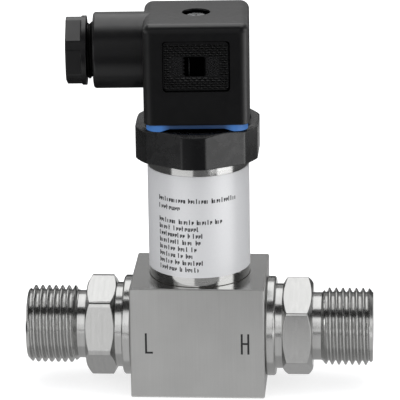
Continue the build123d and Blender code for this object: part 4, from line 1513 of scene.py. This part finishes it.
# Each row: name, side, and where the front edge runs from its bend and at its far end
for name, side, bend, end in (("left_flag", -1, -1.5, -3.12), ("right_flag", 1, -0.17, -0.35)):
    edge = [(half_box, -0.9), (2.4, -1.98), (2.4, bend), (5.0, end)]
    edge += [(5.0, ROOM_BACK), (half_box, ROOM_BACK)]
    card(name, [(side * x, y, SOFTBOX_HEIGHT) for x, y in edge], 0.03)
straight_card("back_wall", -3.0, 3.0, (ROOM_BACK, 0.0), (ROOM_BACK, 1.03), 1.3)
for name, low, high, grey in (
    ("back_card_foot", 0.0, 0.09, 0.05),
    ("back_card_low", 0.09, 0.128, 0.46),
    ("back_card", 0.128, 0.214, 0.27),
):
    first, last = (BACK_CARD_AT, low), (BACK_CARD_AT, high)
    straight_card(name, -BACK_CARD_HALF, BACK_CARD_HALF, first, last, grey)
bent_screen("dark_screen", 1.4, (1, 12, 23, 34, 45), 0.05)
straight_card("front_glow", -0.22, 0.05, (-1.5, 0.5), (-1.5, 1.6), 1.5)
bent_screen("right_window", 1.5, (46, 56, 66, 76, 86), 2.0)
# Each row: name, two places from left to right, two from front to back, layer and grey
for name, x0, x1, y0, y1, layer, grey in (
    ("floor_card", -3.0, 3.0, -3.0, 3.0, 1, 0.64),
    ("under_ports", -0.06, 0.06, -0.014, 0.008, 3, 0.42),
    ("behind_ports", -0.10, -0.017, 0.008, 0.3, 3, 0.03),
):
    straight_card(name, x0, x1, (y0, layer * CARD_LIFT), (y1, layer * CARD_LIFT), grey)
# Each row: name, first and last angle, nearest and farthest reach in metres, and grey
for row in (
    ("near_left_dark", -150.0, -58.0, 0.10, 0.26, 0.07),
    ("near_left_bright", -58.0, -8.0, 0.096, 0.235, 1.0),
    ("near_middle_first", -8.0, 46.0, 0.096, 0.1078, 0.06),
    ("near_middle_dark", -8.0, 46.0, 0.14, 0.235, 0.16),
    ("near_right_bright", 46.0, 86.0, 0.096, 0.235, 1.2),
    ("near_right_dark", 86.0, 160.0, 0.10, 0.26, 0.07),
    ("far_left_dark", -150.0, -56.0, 0.235, 1.3, 0.04),
    ("far_left", -56.0, -24.0, 0.235, 1.3, 0.3),
    ("far_middle_dark", -24.0, 28.0, 0.235, 0.29, 0.03),
    ("far_middle_next", -24.0, 18.0, 0.29, 1.3, 0.03),
    ("far_right_bright", 28.0, 80.0, 0.235, 0.29, 3.5),
    ("far_right_next", 18.0, 80.0, 0.29, 1.3, 1.5),
):
    floor_sector(*row)
print("materials with the staging:", len(bpy.data.materials))


# %% [markdown]
# ## World
#
# The tent itself is the world: plain white to the lens and in gloss, and a slightly cool
# fill for everything else.

# %% World
WORLD_FILL = 1.06
WORLD_TINT = (0.97, 0.98, 1.0, 1)

world = bpy.data.worlds.new("studio_world")
world.use_nodes = True
bpy.context.scene.world = world
world.node_tree.nodes.clear()
world_white = add(world, "Background", {"Color": (1, 1, 1, 1), "Strength": 1.0})
world_light = add(world, "Background", {"Color": WORLD_TINT, "Strength": WORLD_FILL})
world_mix = add(world, "MixShader", {0: seen_directly(world), 1: world_light, 2: world_white})
add(world, "OutputWorld", {"Surface": world_mix})
print("world fill:", WORLD_FILL)


# %% [markdown]
# ## Camera
#
# The photograph was matched by fitting a camera to known sizes: the thread pitch, the square
# plug and the tube. It stands nearly in front, looks down by 18 degrees and has a long lens.

# %% Camera
AZIMUTH, ELEVATION, ROLL = 4.137, 18.071, -0.878
DISTANCE = 0.86917
FOCAL_PIXELS, FRAME_PIXELS = 3235.7, 400
CENTRE_PIXELS = (198.984, 204.15)
AIM_HEIGHT, NEAREST = 0.05, 0.05
SENSOR_WIDTH = 36.0


def studio_camera():
    """A camera at the photograph's angle, distance and framing."""
    data = bpy.data.cameras.new("studio_camera")
    data.sensor_width = SENSOR_WIDTH
    data.lens = FOCAL_PIXELS / FRAME_PIXELS * data.sensor_width
    data.shift_x = (FRAME_PIXELS / 2 - CENTRE_PIXELS[0]) / FRAME_PIXELS
    data.shift_y = (CENTRE_PIXELS[1] - FRAME_PIXELS / 2) / FRAME_PIXELS
    data.clip_start = NEAREST
    camera = bpy.data.objects.new("studio_camera", data)
    bpy.context.scene.collection.objects.link(camera)
    turn, rise = radians(AZIMUTH), radians(ELEVATION)
    back = Vector((sin(turn) * cos(rise), -cos(turn) * cos(rise), sin(rise)))
    right = Vector((cos(turn), sin(turn), 0))
    up = back.cross(right)
    axes = Matrix((right, up, back)).transposed().to_4x4()
    spot = Matrix.Translation(Vector((0, 0, AIM_HEIGHT)) + back * DISTANCE)
    camera.matrix_world = spot @ axes @ Matrix.Rotation(radians(ROLL), 4, "Z")
    bpy.context.scene.camera = camera
    print("lens in millimetres:", round(data.lens, 1))


studio_camera()
bpy.context.scene.view_settings.view_transform = "Standard"
